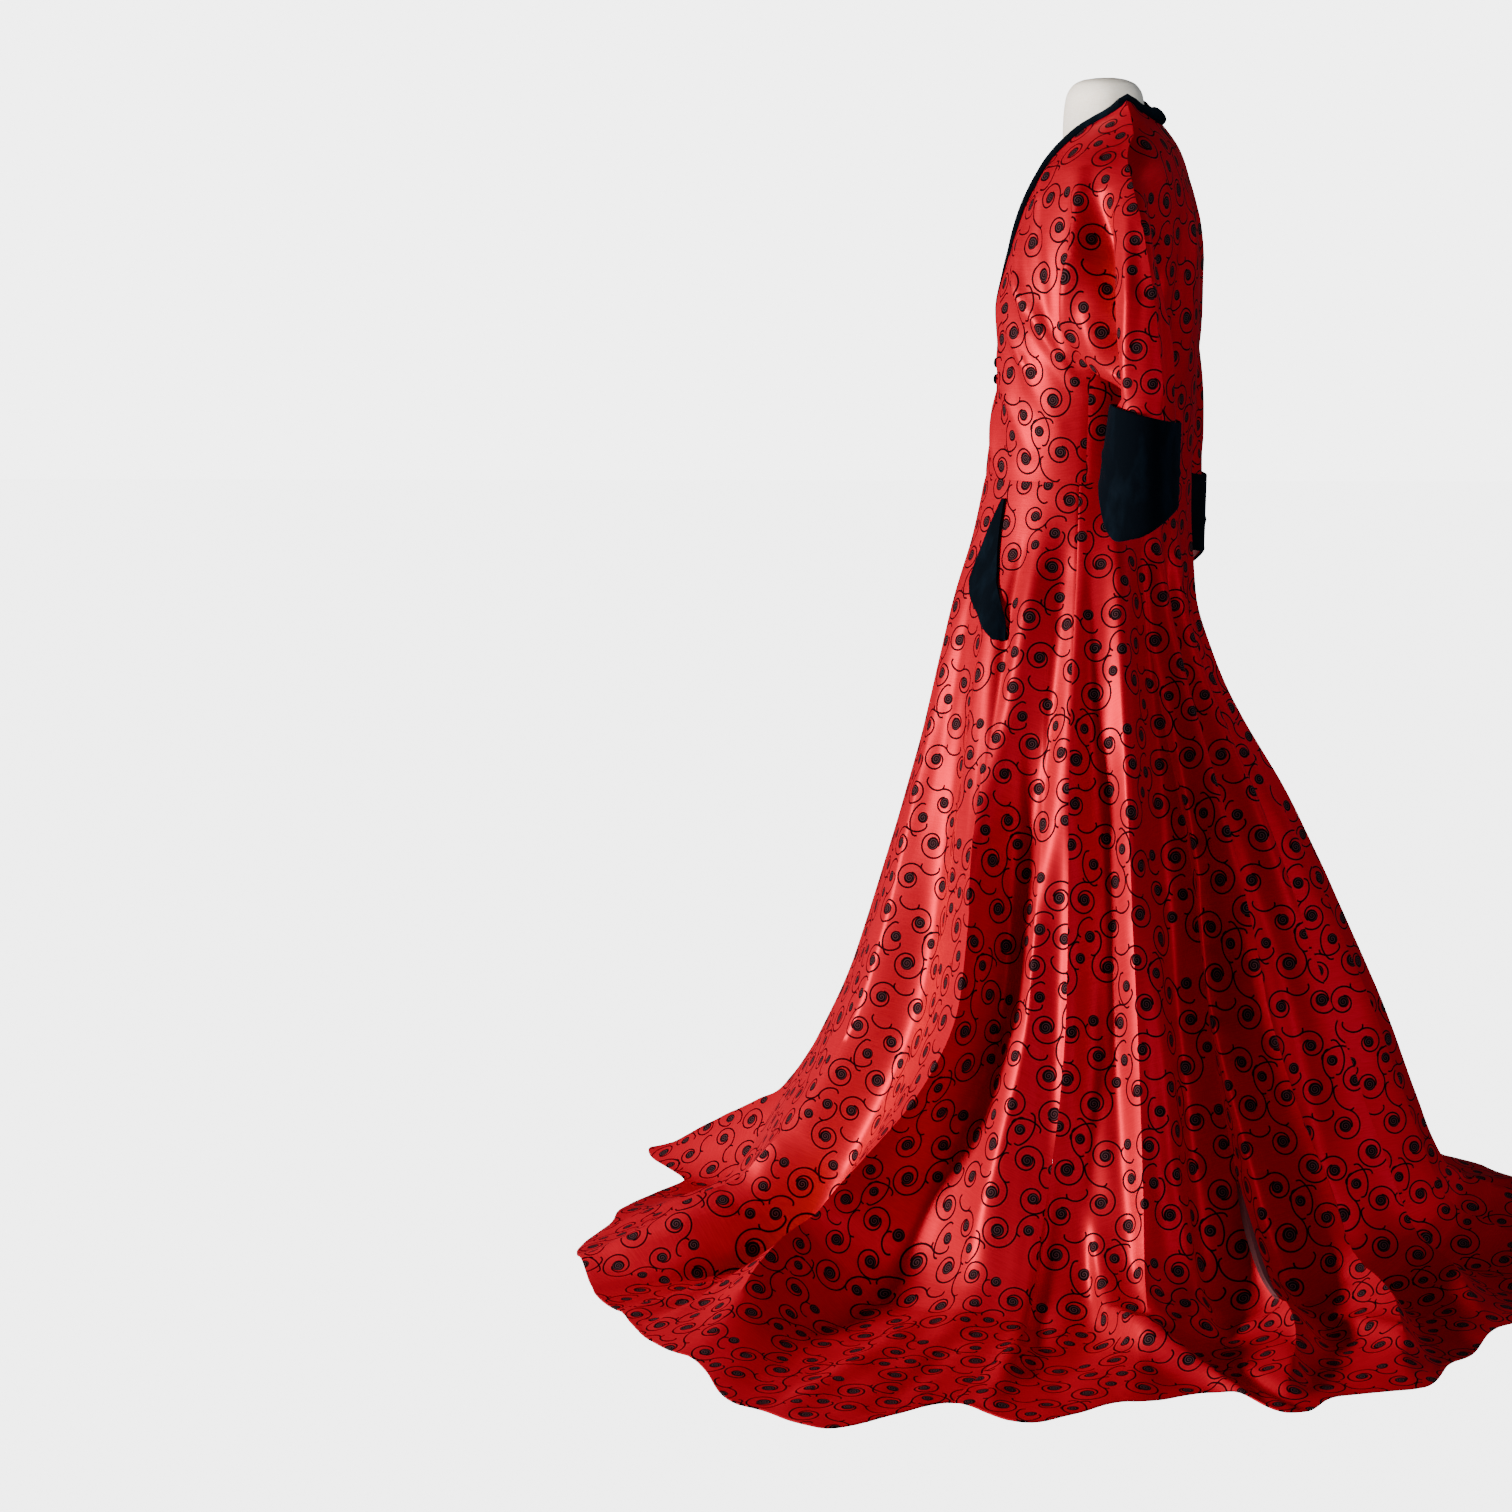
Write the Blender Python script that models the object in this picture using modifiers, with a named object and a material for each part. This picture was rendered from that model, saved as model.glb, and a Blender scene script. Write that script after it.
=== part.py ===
"""Hostess gown standing on a limbless dress form, modelled in Blender at real size.

Units are metres. Z is up, the gown faces -Y and the wearer's left is +X.
The origin is on the floor, on the axis of the stand's pole.

The cloth is one continuous surface worked out from the tables below: a skirt of fold
lines that run from the waist to the hem, and a bodice cut in one with its sleeves.
It is divided along the seams into the maker's pieces, and each piece gets a wall.
"""

import math

import bmesh
import bpy
import numpy as np

# Cloth and seams
WALL = 0.002
VELVET = 0.0028
SEAM_GAP = 0.0003
LIE_GAP = 0.0004

# Main heights above the floor
WAIST_Z = 0.892
SHOULDER_TIP_Z = 1.235
NECK_POINT_Z = 1.312
NAPE_Z = 1.297
CHEST_Z = 1.13
ARMPIT_Z = 1.018
V_END_Z = 1.04

# Shoulder line and neck, half of the width
NECK_HALF = 0.058

# Skirt fold lines, one row for each ridge or valley, running round from the front.
# waist, knee, floor, hem: direction in degrees from the front towards the wearer's left
# depth: how far the line stands out from the mean skirt; roll: its height on the floor
# reach: distance from the axis to the hem
FOLD_LINES = [
    # name, waist, knee, floor, hem, depth, roll, reach
    ("centre_front", 0.0, -2.0, -6.0, -8.0, -0.006, 0.000, 0.530),
    ("front_sweep", 16.0, 17.0, 13.0, 11.0, 0.004, 0.040, 0.575),
    ("front_roll", 30.0, 38.0, 31.0, 28.0, 0.018, 0.075, 0.632),
    ("front_valley", 44.0, 52.0, 42.0, 42.0, -0.032, 0.000, 0.650),
    ("big_ridge", 62.0, 68.0, 54.0, 60.0, 0.040, 0.085, 0.705),
    ("big_valley", 72.0, 77.0, 64.0, 70.0, -0.036, 0.000, 0.772),
    ("panel_left", 80.0, 84.0, 78.0, 77.0, 0.000, 0.010, 0.795),
    ("side_seam_left", 90.0, 90.5, 88.0, 85.0, 0.012, 0.010, 0.680),
    ("side_crease", 98.0, 97.5, 96.0, 91.5, -0.018, 0.000, 0.722),
    ("side_ridge", 105.0, 104.0, 104.0, 100.0, 0.016, 0.030, 0.662),
    ("side_valley", 114.0, 115.0, 115.5, 107.5, -0.022, 0.000, 0.630),
    ("hip_ridge", 120.0, 121.0, 122.5, 113.0, 0.018, 0.035, 0.712),
    ("deep_valley", 126.0, 126.0, 130.0, 119.0, -0.034, 0.000, 0.670),
    ("bright_ridge", 132.0, 131.0, 137.0, 125.5, 0.028, 0.045, 0.690),
    ("rear_valley", 141.0, 139.0, 144.0, 134.0, -0.022, 0.000, 0.630),
    ("rear_ridge", 150.0, 149.0, 153.0, 144.0, 0.024, 0.040, 0.590),
    ("back_valley_left", 161.0, 160.0, 162.0, 154.0, -0.020, 0.000, 0.615),
    ("back_ridge_left", 170.0, 170.0, 171.0, 166.0, 0.024, 0.040, 0.640),
    ("centre_back", 180.0, 181.0, 181.0, 179.0, -0.018, 0.000, 0.600),
    ("back_ridge_right", 191.0, 192.0, 192.0, 191.0, 0.022, 0.040, 0.610),
    ("back_valley_right", 203.0, 203.0, 203.0, 202.0, -0.022, 0.000, 0.565),
    ("far_ridge_rear", 214.0, 214.0, 214.0, 213.0, 0.020, 0.035, 0.540),
    ("far_valley_rear", 226.0, 226.0, 226.0, 225.0, -0.022, 0.000, 0.530),
    ("far_ridge_back", 238.0, 238.0, 238.0, 238.0, 0.026, 0.045, 0.610),
    ("far_valley_back", 249.0, 249.0, 249.0, 249.0, -0.024, 0.000, 0.655),
    ("far_ridge_side", 259.0, 259.0, 260.0, 260.0, 0.022, 0.030, 0.700),
    ("side_seam_right", 270.0, 270.0, 271.0, 271.0, -0.018, 0.000, 0.685),
    ("far_ridge_hip", 283.0, 283.0, 283.0, 283.0, 0.026, 0.045, 0.720),
    ("far_valley_hip", 296.0, 296.0, 295.0, 295.0, -0.028, 0.000, 0.670),
    ("far_big_ridge", 309.0, 308.0, 308.0, 309.0, 0.032, 0.060, 0.690),
    ("far_front_valley", 326.0, 324.0, 323.0, 325.0, -0.024, 0.000, 0.585),
    ("far_front_roll", 343.0, 343.0, 342.0, 343.0, 0.016, 0.085, 0.622),
]
# Rows of the fold lines that lie on the skirt's seams; the first row is the centre front
SIDE_LEFT, CENTRE_BACK, SIDE_RIGHT = 7, 18, 26
STEPS_BETWEEN_LINES = 3
# The lines turn from their waist to their knee direction down to one height,
# and from there to their floor direction down to another
KNEE_Z = 0.34
TURNED_Z = 0.04

# Mean skirt: height, distance from the axis at the front, side and back,
# and the share of each line's depth and roll that has come in at that height
SKIRT_LEVELS = [
    # z, front, side, back, fold, roll
    (WAIST_Z, 0.1260, 0.1370, 0.1120, 0.00, 0.00),
    (0.820, 0.1410, 0.1580, 0.1090, 0.04, 0.00),
    (0.755, 0.1600, 0.1860, 0.1110, 0.12, 0.00),
    (0.680, 0.1790, 0.2120, 0.1280, 0.26, 0.00),
    (0.600, 0.1980, 0.2360, 0.1630, 0.44, 0.00),
    (0.520, 0.2200, 0.2590, 0.2060, 0.62, 0.00),
    (0.440, 0.2440, 0.2820, 0.2440, 0.78, 0.00),
    (0.360, 0.2680, 0.3040, 0.2790, 0.90, 0.04),
    (0.280, 0.2980, 0.3260, 0.3120, 0.97, 0.10),
    (0.200, 0.3360, 0.3480, 0.3400, 1.00, 0.22),
    (0.130, 0.3760, 0.3700, 0.3630, 1.00, 0.42),
    (0.070, 0.4060, 0.3920, 0.3830, 0.94, 0.66),
    (0.028, 0.4300, 0.4200, 0.4050, 0.80, 0.88),
    (0.008, 0.4560, 0.4500, 0.4280, 0.62, 1.00),
]
# Cloth on the floor: share of the way from the last level to the hem, and roll left there
FLOOR_ROWS = [
    # share, roll
    (0.22, 0.86),
    (0.45, 0.60),
    (0.68, 0.32),
    (0.87, 0.10),
    (1.00, 0.00),
]

# Bodice rings: height, half width, y of the side, distance to the front and to the back
BODICE_LEVELS = [
    # z, half_width, side_y, front, back
    (WAIST_Z, 0.1370, 0.000, 0.1260, 0.1120),
    (0.915, 0.1380, 0.000, 0.1235, 0.1130),
    (0.950, 0.1430, 0.002, 0.1175, 0.1150),
    (0.990, 0.1500, 0.006, 0.1120, 0.1170),
    (V_END_Z, 0.1560, 0.012, 0.1110, 0.1190),
    (1.080, 0.1610, 0.017, 0.1120, 0.1200),
    (CHEST_Z, 0.1650, 0.030, 0.1010, 0.1200),
    (1.170, 0.1680, 0.042, 0.0890, 0.1170),
    (1.200, 0.1680, 0.053, 0.0785, 0.1120),
    (SHOULDER_TIP_Z, 0.1650, 0.063, 0.0600, 0.1045),
    (1.260, 0.1350, 0.061, 0.0440, 0.0965),
    (1.285, 0.0980, 0.054, 0.0200, 0.0800),
    (1.300, 0.0740, 0.048, -0.0050, 0.0650),
    (NECK_POINT_Z, NECK_HALF, 0.043, -0.0300, 0.0520),
]

# V neckline: half of its width at each height
V_NECK = [
    # z, half_width
    (V_END_Z, 0.0006),
    (1.090, 0.0190),
    (1.143, 0.0330),
    (1.200, 0.0450),
    (1.265, 0.0545),
    (NECK_POINT_Z, NECK_HALF),
]

# Armhole line, where the sleeve leaves the body: direction round the ring at each height
ARM_LINE = [
    # z, front_direction, back_direction
    (ARMPIT_Z, 94.0, 94.0),
    (1.040, 85.0, 105.0),
    (1.072, 77.0, 115.0),
    (CHEST_Z, 70.0, 122.0),
    (1.190, 72.0, 116.0),
    (SHOULDER_TIP_Z, 90.0, 90.0),
]

# Sleeves: the wearer's right one hangs a little lower and flatter, as in the photo
SLEEVES = [
    # side, name, drop, lean
    (1.0, "left", 0.000, 0.000),
    (-1.0, "right", 0.088, -0.012),
]
CUFF_CENTRE = (0.2220, 0.0830, 0.9740)
CUFF_HALF_DEPTH = 0.0330
CUFF_HALF_WIDTH = 0.0360
CUFF_TILT = 0.0100
CUFF_FORWARD = 0.0150
CUFF_TOP_FLARE = 0.0030
CUFF_SHARES = (0.0, 0.36, 0.70, 1.0)
# How the sleeve leaves the armhole over the arm and under it, and how it ends
SHOULDER_BULGE = 0.085
UNDERARM_BULGE = 0.020
MOST_BULGE_SHARE = 0.42
OVERARM_WAY = (0.80, 0.15, -0.55)
UNDERARM_WAY = (0.55, 0.0, -0.80)
END_LEAN = (0.002, 0.000)
# Where the overarm seam meets the cuff, from its front by way of its outside
OVERARM_TURN = 130.0
END_SHARE = 0.40

# Cuff bottom edge: direction round the cuff from the front by way of the outside, drop
CUFF_BOTTOM = [
    # direction, drop
    (0.0, 0.088),
    (55.0, 0.143),
    (80.0, 0.136),
    (180.0, 0.094),
    (250.0, 0.092),
    (310.0, 0.088),
]

# Pocket flap: direction of its front and its back edge on the skirt at each height
FLAP_ROWS = [
    # z, front_edge, back_edge
    (0.8720, 48.8, 50.6),
    (0.8450, 43.8, 50.6),
    (0.8200, 40.0, 52.0),
    (0.7980, 38.0, 54.8),
    (0.7820, 38.0, 57.6),
    (0.7680, 40.8, 60.6),
    (0.7540, 46.2, 63.2),
    (0.7380, 54.0, 65.2),
    (0.7190, 62.4, 66.2),
]
FLAP_COLUMNS = 4
FLAP_STAND = 0.0060

# Neck band
BAND_WIDTH = 0.0085
BAND_THICK = 0.0030
BAND_RISE = 0.0015
BAND_LIFT = 0.0010
NAPE_WIDTH = 0.0130
NAPE_THICK = 0.0105
NAPE_RISE = 0.0110
NAPE_SPREAD = 0.030
# How far the band's ends stop short of the V's point, as a share of the last step
BAND_END_TRIM = 0.14
# Half round section: across as a share of the rise (minus) or the width (plus), out as a
# share of the thickness
BAND_SECTION = [
    # across, out
    (-1.00, 0.00),
    (-1.00, 0.62),
    (-0.45, 0.94),
    (0.45, 1.00),
    (0.85, 0.80),
    (1.00, 0.35),
    (1.00, 0.00),
]

# Buttons
BUTTON_RADIUS = 0.0060
BUTTON_HALF_THICK = 0.0032
BUTTON_X = -0.0030
BUTTON_SIDES = 14
BUTTON_ROUNDS = 8
BUTTON_Z = {"button_upper": 1.0210, "button_lower": 1.0020}

# Dress form and stand
FORM_CLEAR = 0.0040
SHOULDER_CLEAR = 0.0025
FORM_LEVELS = [
    # z, half_width, side_y, front, back
    (0.672, 0.0900, 0.004, 0.0600, 0.0600),
    (0.676, 0.1280, 0.004, 0.0880, 0.0840),
    (0.690, 0.1440, 0.004, 0.1010, 0.0950),
    (0.740, 0.1580, 0.003, 0.1150, 0.1000),
    (0.790, 0.1500, 0.001, 0.1160, 0.0985),
    (0.830, 0.1350, 0.000, 0.1130, 0.0990),
]
# Heights where the torso follows the bodice's rings, inside the cloth
FORM_HEIGHTS = [WAIST_Z, 0.930, 0.990, 1.040, 1.080, 1.130, 1.170, 1.200]
SHOULDER_HEIGHTS = [1.218, 1.235, 1.248, 1.262, 1.276, 1.288, 1.298]
NECK_LEVELS = [
    # z, half_width, side_y, front, back
    (1.200, 0.0480, 0.012, 0.0330, 0.0560),
    (1.280, 0.0500, 0.012, 0.0360, 0.0600),
    (1.296, 0.0500, 0.012, 0.0355, 0.0605),
    (1.303, 0.0495, 0.012, 0.0350, 0.0575),
    (1.322, 0.0480, 0.012, 0.0320, 0.0550),
    (1.334, 0.0420, 0.012, 0.0250, 0.0480),
    (1.3405, 0.0290, 0.012, 0.0130, 0.0350),
    (1.3425, 0.0120, 0.012, 0.0000, 0.0240),
]
POLE_RADIUS = 0.016
BASE_RADIUS = 0.170
BASE_THICK = 0.018
BASE_BEVEL = 0.005
FORM_SIDES = 28
NECK_SIDES = 24
POLE_SIDES = 20
BASE_SIDES = 40
SHARP_DEGREES = 40.0

# Colours
RED = (0.46, 0.006, 0.012)
VELVET_BLACK = (0.004, 0.006, 0.009)
LINEN = (0.80, 0.72, 0.56)
STEEL = (0.30, 0.30, 0.31)
IRON = (0.02, 0.02, 0.02)


def clear_scene():
    for obj in list(bpy.data.objects):
        bpy.data.objects.remove(obj, do_unlink=True)


def material(name, colour, roughness, metallic=0.0):
    made = bpy.data.materials.new(name)
    made.use_nodes = True
    shader = made.node_tree.nodes["Principled BSDF"]
    shader.inputs["Base Color"].default_value = (*colour, 1.0)
    shader.inputs["Roughness"].default_value = roughness
    shader.inputs["Metallic"].default_value = metallic
    return made


def smooth_rows(table, at):
    """Rows of a table read at the given places, on a smooth curve that never overshoots."""
    rows = np.array(sorted(table), float)
    x, y = rows[:, 0], rows[:, 1:]
    step = np.diff(x)[:, None]
    slope = np.diff(y, axis=0) / step
    tangent = np.zeros_like(y)
    tangent[0], tangent[-1] = slope[0], slope[-1]
    agree = slope[:-1] * slope[1:] > 0
    w1 = 2 * step[1:] + step[:-1]
    w2 = step[1:] + 2 * step[:-1]
    with np.errstate(divide="ignore", invalid="ignore"):
        mean = (w1 + w2) / (w1 / slope[:-1] + w2 / slope[1:])
    tangent[1:-1] = np.where(agree, mean, 0.0)
    at = np.clip(np.asarray(at, float), x[0], x[-1])
    i = np.clip(np.searchsorted(x, at) - 1, 0, len(x) - 2)
    h = (x[i + 1] - x[i])[..., None]
    t = (at[..., None] - x[i][..., None]) / h
    return (
        (2 * t**3 - 3 * t**2 + 1) * y[i]
        + (t**3 - 2 * t**2 + t) * h * tangent[i]
        + (3 * t**2 - 2 * t**3) * y[i + 1]
        + (t**3 - t**2) * h * tangent[i + 1]
    )


def ease(t):
    """From 0 to 1 with level ends, so that ridges and valleys are round."""
    return t * t * (3.0 - 2.0 * t)


def oval(direction, front, side, back):
    """Distance from the axis to an oval whose front and back reach differ."""
    cosine, sine = np.cos(direction), np.sin(direction)
    ahead = np.where(cosine > 0, front, back)
    return 1.0 / np.sqrt((sine / side) ** 2 + (cosine / ahead) ** 2)


def around(values, turn=0.0):
    """A value of each fold line spread over all the columns between the lines."""
    values = np.array(values, float)
    following = np.roll(values, -1)
    following[-1] += turn
    shares = np.arange(STEPS_BETWEEN_LINES) / STEPS_BETWEEN_LINES
    if turn:
        return (values[:, None] + (following - values)[:, None] * shares).ravel()
    return (values[:, None] + (following - values)[:, None] * ease(shares)).ravel()


def skirt_points():
    """Grid of points of the skirt's outer face, a row for each level, a column a direction."""
    columns = list(zip(*[line[1:] for line in FOLD_LINES]))
    waist, knee, floor, hem = [around(column, 360.0) for column in columns[:4]]
    depth, roll, reach = [around(column) for column in columns[4:]]
    rows = []
    for z, front, side, back, fold, roll_share in SKIRT_LEVELS:
        if z >= KNEE_Z:
            turn = waist + (knee - waist) * ease((WAIST_Z - z) / (WAIST_Z - KNEE_Z))
        else:
            share = min(1.0, (KNEE_Z - z) / (KNEE_Z - TURNED_Z))
            turn = knee + (floor - knee) * ease(share)
        direction = np.radians(turn)
        radius = oval(direction, front, side, back) + fold * depth
        height = np.maximum(z, WALL) + roll_share * roll
        rows.append((direction, radius, height))
    start, first, _ = rows[-1]
    for share, roll_share in FLOOR_ROWS:
        direction = start + (np.radians(hem) - start) * ease(share)
        radius = first + (reach - first) * share
        rows.append((direction, radius, WALL + roll_share * roll))
    grid = [np.stack([r * np.sin(a), -r * np.cos(a), z + 0 * a], -1) for a, r, z in rows]
    return np.array(grid)


def ring_point(direction, z):
    """Point of the bodice's outer face, in a direction from the front, at a height."""
    half_width, side_y, front, back = smooth_rows(BODICE_LEVELS, z)
    sine, cosine = math.sin(direction), math.cos(direction)
    ahead = (side_y + front) if cosine > 0 else (back - side_y)
    return np.array([half_width * sine, side_y - ahead * cosine, z])


def direction_of(x, z):
    """Direction, from the front, of the ring point with this x."""
    half_width = smooth_rows(BODICE_LEVELS, z)[0]
    return math.asin(min(1.0, x / half_width))


UPPER_SHARES = [0.0, 0.045, 0.12, 0.24, 0.42, 0.62, 0.82, 1.0]
LOWER_HEIGHTS = [1.085, V_END_Z, ARMPIT_Z + 0.011, ARMPIT_Z, 0.972, 0.930, WAIST_Z]
ARMPIT_ROW = len(UPPER_SHARES) + 3
SHOULDER_COLUMNS = 7
NECK_COLUMNS = 3
BACK_COLUMNS = NECK_COLUMNS + SHOULDER_COLUMNS


def shoulder_line(share):
    """Point of the shoulder seam, from the neck point (0) to the shoulder tip (1)."""
    z = NECK_POINT_Z + (SHOULDER_TIP_Z - NECK_POINT_Z) * share
    return ring_point(math.pi / 2, z)


def front_half():
    """Left front without its sleeve, a row from the neckline out, from the shoulder down."""
    shares = np.linspace(0, 1, SHOULDER_COLUMNS + 1)
    chest_neck = direction_of(smooth_rows(V_NECK, CHEST_Z)[0], CHEST_Z)
    chest_arm = math.radians(smooth_rows(ARM_LINE, CHEST_Z)[0])
    grid = []
    for down in UPPER_SHARES:
        row = []
        for share in shares:
            top = shoulder_line(share)
            low = ring_point(chest_neck + (chest_arm - chest_neck) * share, CHEST_Z)
            z = top[2] + (CHEST_Z - top[2]) * down
            x = top[0] + (low[0] - top[0]) * down
            neck_z = NECK_POINT_Z + (CHEST_Z - NECK_POINT_Z) * down
            straight = NECK_HALF + (smooth_rows(V_NECK, CHEST_Z)[0] - NECK_HALF) * down
            x += (smooth_rows(V_NECK, neck_z)[0] - straight) * (1 - share) ** 2
            row.append(ring_point(direction_of(x, z), z))
        grid.append(row)
    for z in LOWER_HEIGHTS:
        if z >= V_END_Z:
            inner = direction_of(smooth_rows(V_NECK, z)[0], z)
        else:
            inner = 0.0
        outer = math.radians(smooth_rows(ARM_LINE, max(z, ARMPIT_Z))[0])
        grid.append([ring_point(inner + (outer - inner) * s, z) for s in shares])
    for row in grid[len(UPPER_SHARES) + 1 :]:
        row[0][0] = 0.0
    return np.array(grid)


def back_half():
    """Left half of the back, a row from the centre back out, from the neck down."""
    neck_shares = np.linspace(0, 1, NECK_COLUMNS + 1)
    shoulder_shares = np.linspace(0, 1, BACK_COLUMNS - NECK_COLUMNS + 1)[1:]
    tops = []
    for share in neck_shares:
        x = NECK_HALF * share
        z = NAPE_Z + (NECK_POINT_Z - NAPE_Z) * share**2
        tops.append(ring_point(math.pi - direction_of(x, z), z))
    tops += [shoulder_line(share) for share in shoulder_shares]
    chest_arm = math.radians(smooth_rows(ARM_LINE, CHEST_Z)[1])
    columns = np.linspace(0, 1, BACK_COLUMNS + 1)
    grid = []
    for down in UPPER_SHARES:
        row = []
        for share, top in zip(columns, tops):
            low = ring_point(math.pi + (chest_arm - math.pi) * share, CHEST_Z)
            z = top[2] + (CHEST_Z - top[2]) * down
            x = top[0] + (low[0] - top[0]) * down
            row.append(ring_point(math.pi - direction_of(x, z), z))
        grid.append(row)
    for z in LOWER_HEIGHTS:
        outer = math.radians(smooth_rows(ARM_LINE, max(z, ARMPIT_Z))[1])
        grid.append([ring_point(math.pi + (outer - math.pi) * s, z) for s in columns])
    return np.array(grid)


def cuff_point(degrees, share, drop, lean, grow=0.0):
    """Point of the sleeve's end, in a direction from its front by way of its outside.

    share runs from the cuff's top edge (0) to its bottom edge (1).
    """
    x, y, z = CUFF_CENTRE
    cosine, sine = math.cos(math.radians(degrees)), math.sin(math.radians(degrees))
    first = CUFF_BOTTOM[0][1]
    length = float(smooth_rows([*CUFF_BOTTOM, (360.0, first)], degrees % 360.0)[0])
    forward = CUFF_FORWARD * share * max(0.0, cosine)
    return np.array(
        [
            x + (CUFF_HALF_WIDTH + grow) * sine,
            y + lean - (CUFF_HALF_DEPTH + grow) * cosine - forward,
            z - drop + CUFF_TILT * cosine - length * share,
        ]
    )


SLEEVE_SHARES = [0.10, 0.22, 0.36, 0.52, 0.68, 0.84, 1.0]
INSIDE_SHARES = [0.35, 0.70, 0.97]


def sleeve_rings(loop, drop, lean):
    """Rings of the left sleeve from the armhole loop, over the top first, to its end."""
    count = len(loop)
    rings = []
    # The top of the armhole leads to the outside of the cuff, the front to its front.
    turns = [OVERARM_TURN - 360.0 * i / count for i in range(count)]
    ends = [cuff_point(turn, 0.0, drop, lean) for turn in turns]
    for share in SLEEVE_SHARES:
        ring = []
        for i, (start, end) in enumerate(zip(loop, ends)):
            over = 0.5 + 0.5 * math.cos(2 * math.pi * i / count)
            bulge = UNDERARM_BULGE + (SHOULDER_BULGE - UNDERARM_BULGE) * over
            out = np.array(OVERARM_WAY) * over + np.array(UNDERARM_WAY) * (1 - over)
            out /= np.linalg.norm(out)
            length = float(np.linalg.norm(end - start))
            first = start + out * min(bulge, MOST_BULGE_SHARE * length)
            second = end + np.array([*END_LEAN, END_SHARE * length])
            a, b = 1 - share, share
            ring.append(a**3 * start + 3 * a * a * b * first + 3 * a * b * b * second + b**3 * end)
        rings.append(ring)
    for share in INSIDE_SHARES:
        rings.append([cuff_point(turn, share, drop, lean) for turn in turns])
    return np.array(rings)


class Sheet:
    """A surface made of four-sided faces, each with the name of the piece it belongs to."""

    def __init__(self):
        self.points = []
        self.faces = []
        self.labels = []

    def add_grid(self, grid, label, known=None, flip=False):
        """Adds a grid of points; known maps grid places to points that already exist."""
        known = known or {}
        index = {}
        for r, row in enumerate(grid):
            for c, point in enumerate(row):
                if (r, c) in known:
                    index[r, c] = known[r, c]
                else:
                    index[r, c] = len(self.points)
                    self.points.append(np.array(point, float))
        for r in range(len(grid) - 1):
            for c in range(len(grid[0]) - 1):
                face = [index[r, c], index[r + 1, c], index[r + 1, c + 1], index[r, c + 1]]
                if flip:
                    face.reverse()
                unique = list(dict.fromkeys(face))
                if len(unique) > 2:
                    self.faces.append(unique)
                    self.labels.append(label(r, c) if callable(label) else label)
        return index

    def normals(self):
        points = np.array(self.points)
        total = np.zeros_like(points)
        for face in self.faces:
            corner = points[face]
            across = np.cross(corner[2] - corner[0], corner[-1] - corner[1])
            for i in face:
                total[i] += across
        return total / np.maximum(np.linalg.norm(total, axis=1), 1e-12)[:, None]


def piece_solid(sheet, normals, label, wall, gap, sewn=frozenset()):
    """Closed wall of one piece: its outer face, drawn back from its seams, and an inner one.

    sewn holds the points along a seam to another sheet, which are drawn back too.
    """
    points = np.array(sheet.points)
    faces = [f for f, name in zip(sheet.faces, sheet.labels) if name == label]
    uses = {}
    for face in faces:
        for a, b in zip(face, face[1:] + face[:1]):
            uses[a, b] = face
    border = [(a, b, face) for (a, b), face in uses.items() if (b, a) not in uses]
    shared = set()
    for face, name in zip(sheet.faces, sheet.labels):
        if name != label:
            for a, b in zip(face, face[1:] + face[:1]):
                shared.add((b, a))
    pulls = {}
    for a, b, face in border:
        if (a, b) in shared or (a in sewn and b in sewn):
            edge = points[b] - points[a]
            normal = normals[a] + normals[b]
            inward = np.cross(normal, edge)
            inward /= np.linalg.norm(inward)
            if np.dot(points[face].mean(axis=0) - points[a], inward) < 0:
                inward = -inward
            pulls.setdefault(a, []).append(inward)
            pulls.setdefault(b, []).append(inward)
    used = sorted({i for face in faces for i in face})
    place = {i: n for n, i in enumerate(used)}
    outer = []
    for i in used:
        point = points[i].copy()
        if i in pulls:
            first, last = pulls[i][0], pulls[i][-1]
            point += gap / 2 * (first + last) / (1 + float(np.dot(first, last)))
        outer.append(point)
    outer = np.array(outer)
    inner = outer - normals[used] * wall
    count = len(used)
    made = []
    for face in faces:
        front = [place[i] for i in face]
        made.append(front)
        made.append([i + count for i in reversed(front)])
    for a, b, _ in border:
        a, b = place[a], place[b]
        made.append([b, a, a + count, b + count])
    return np.concatenate([outer, inner]), made


def new_object(name, points, faces, look):
    mesh = bpy.data.meshes.new(name)
    mesh.from_pydata([tuple(map(float, p)) for p in points], [], faces)
    mesh.validate()
    mesh.update()
    shaped = bmesh.new()
    shaped.from_mesh(mesh)
    bmesh.ops.triangulate(shaped, faces=shaped.faces, quad_method="SHORT_EDGE")
    shaped.to_mesh(mesh)
    shaped.free()
    mesh.materials.append(look)
    mesh.shade_smooth()
    mesh.set_sharp_from_angle(angle=math.radians(SHARP_DEGREES))
    obj = bpy.data.objects.new(name, mesh)
    gown.objects.link(obj)
    return obj


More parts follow.
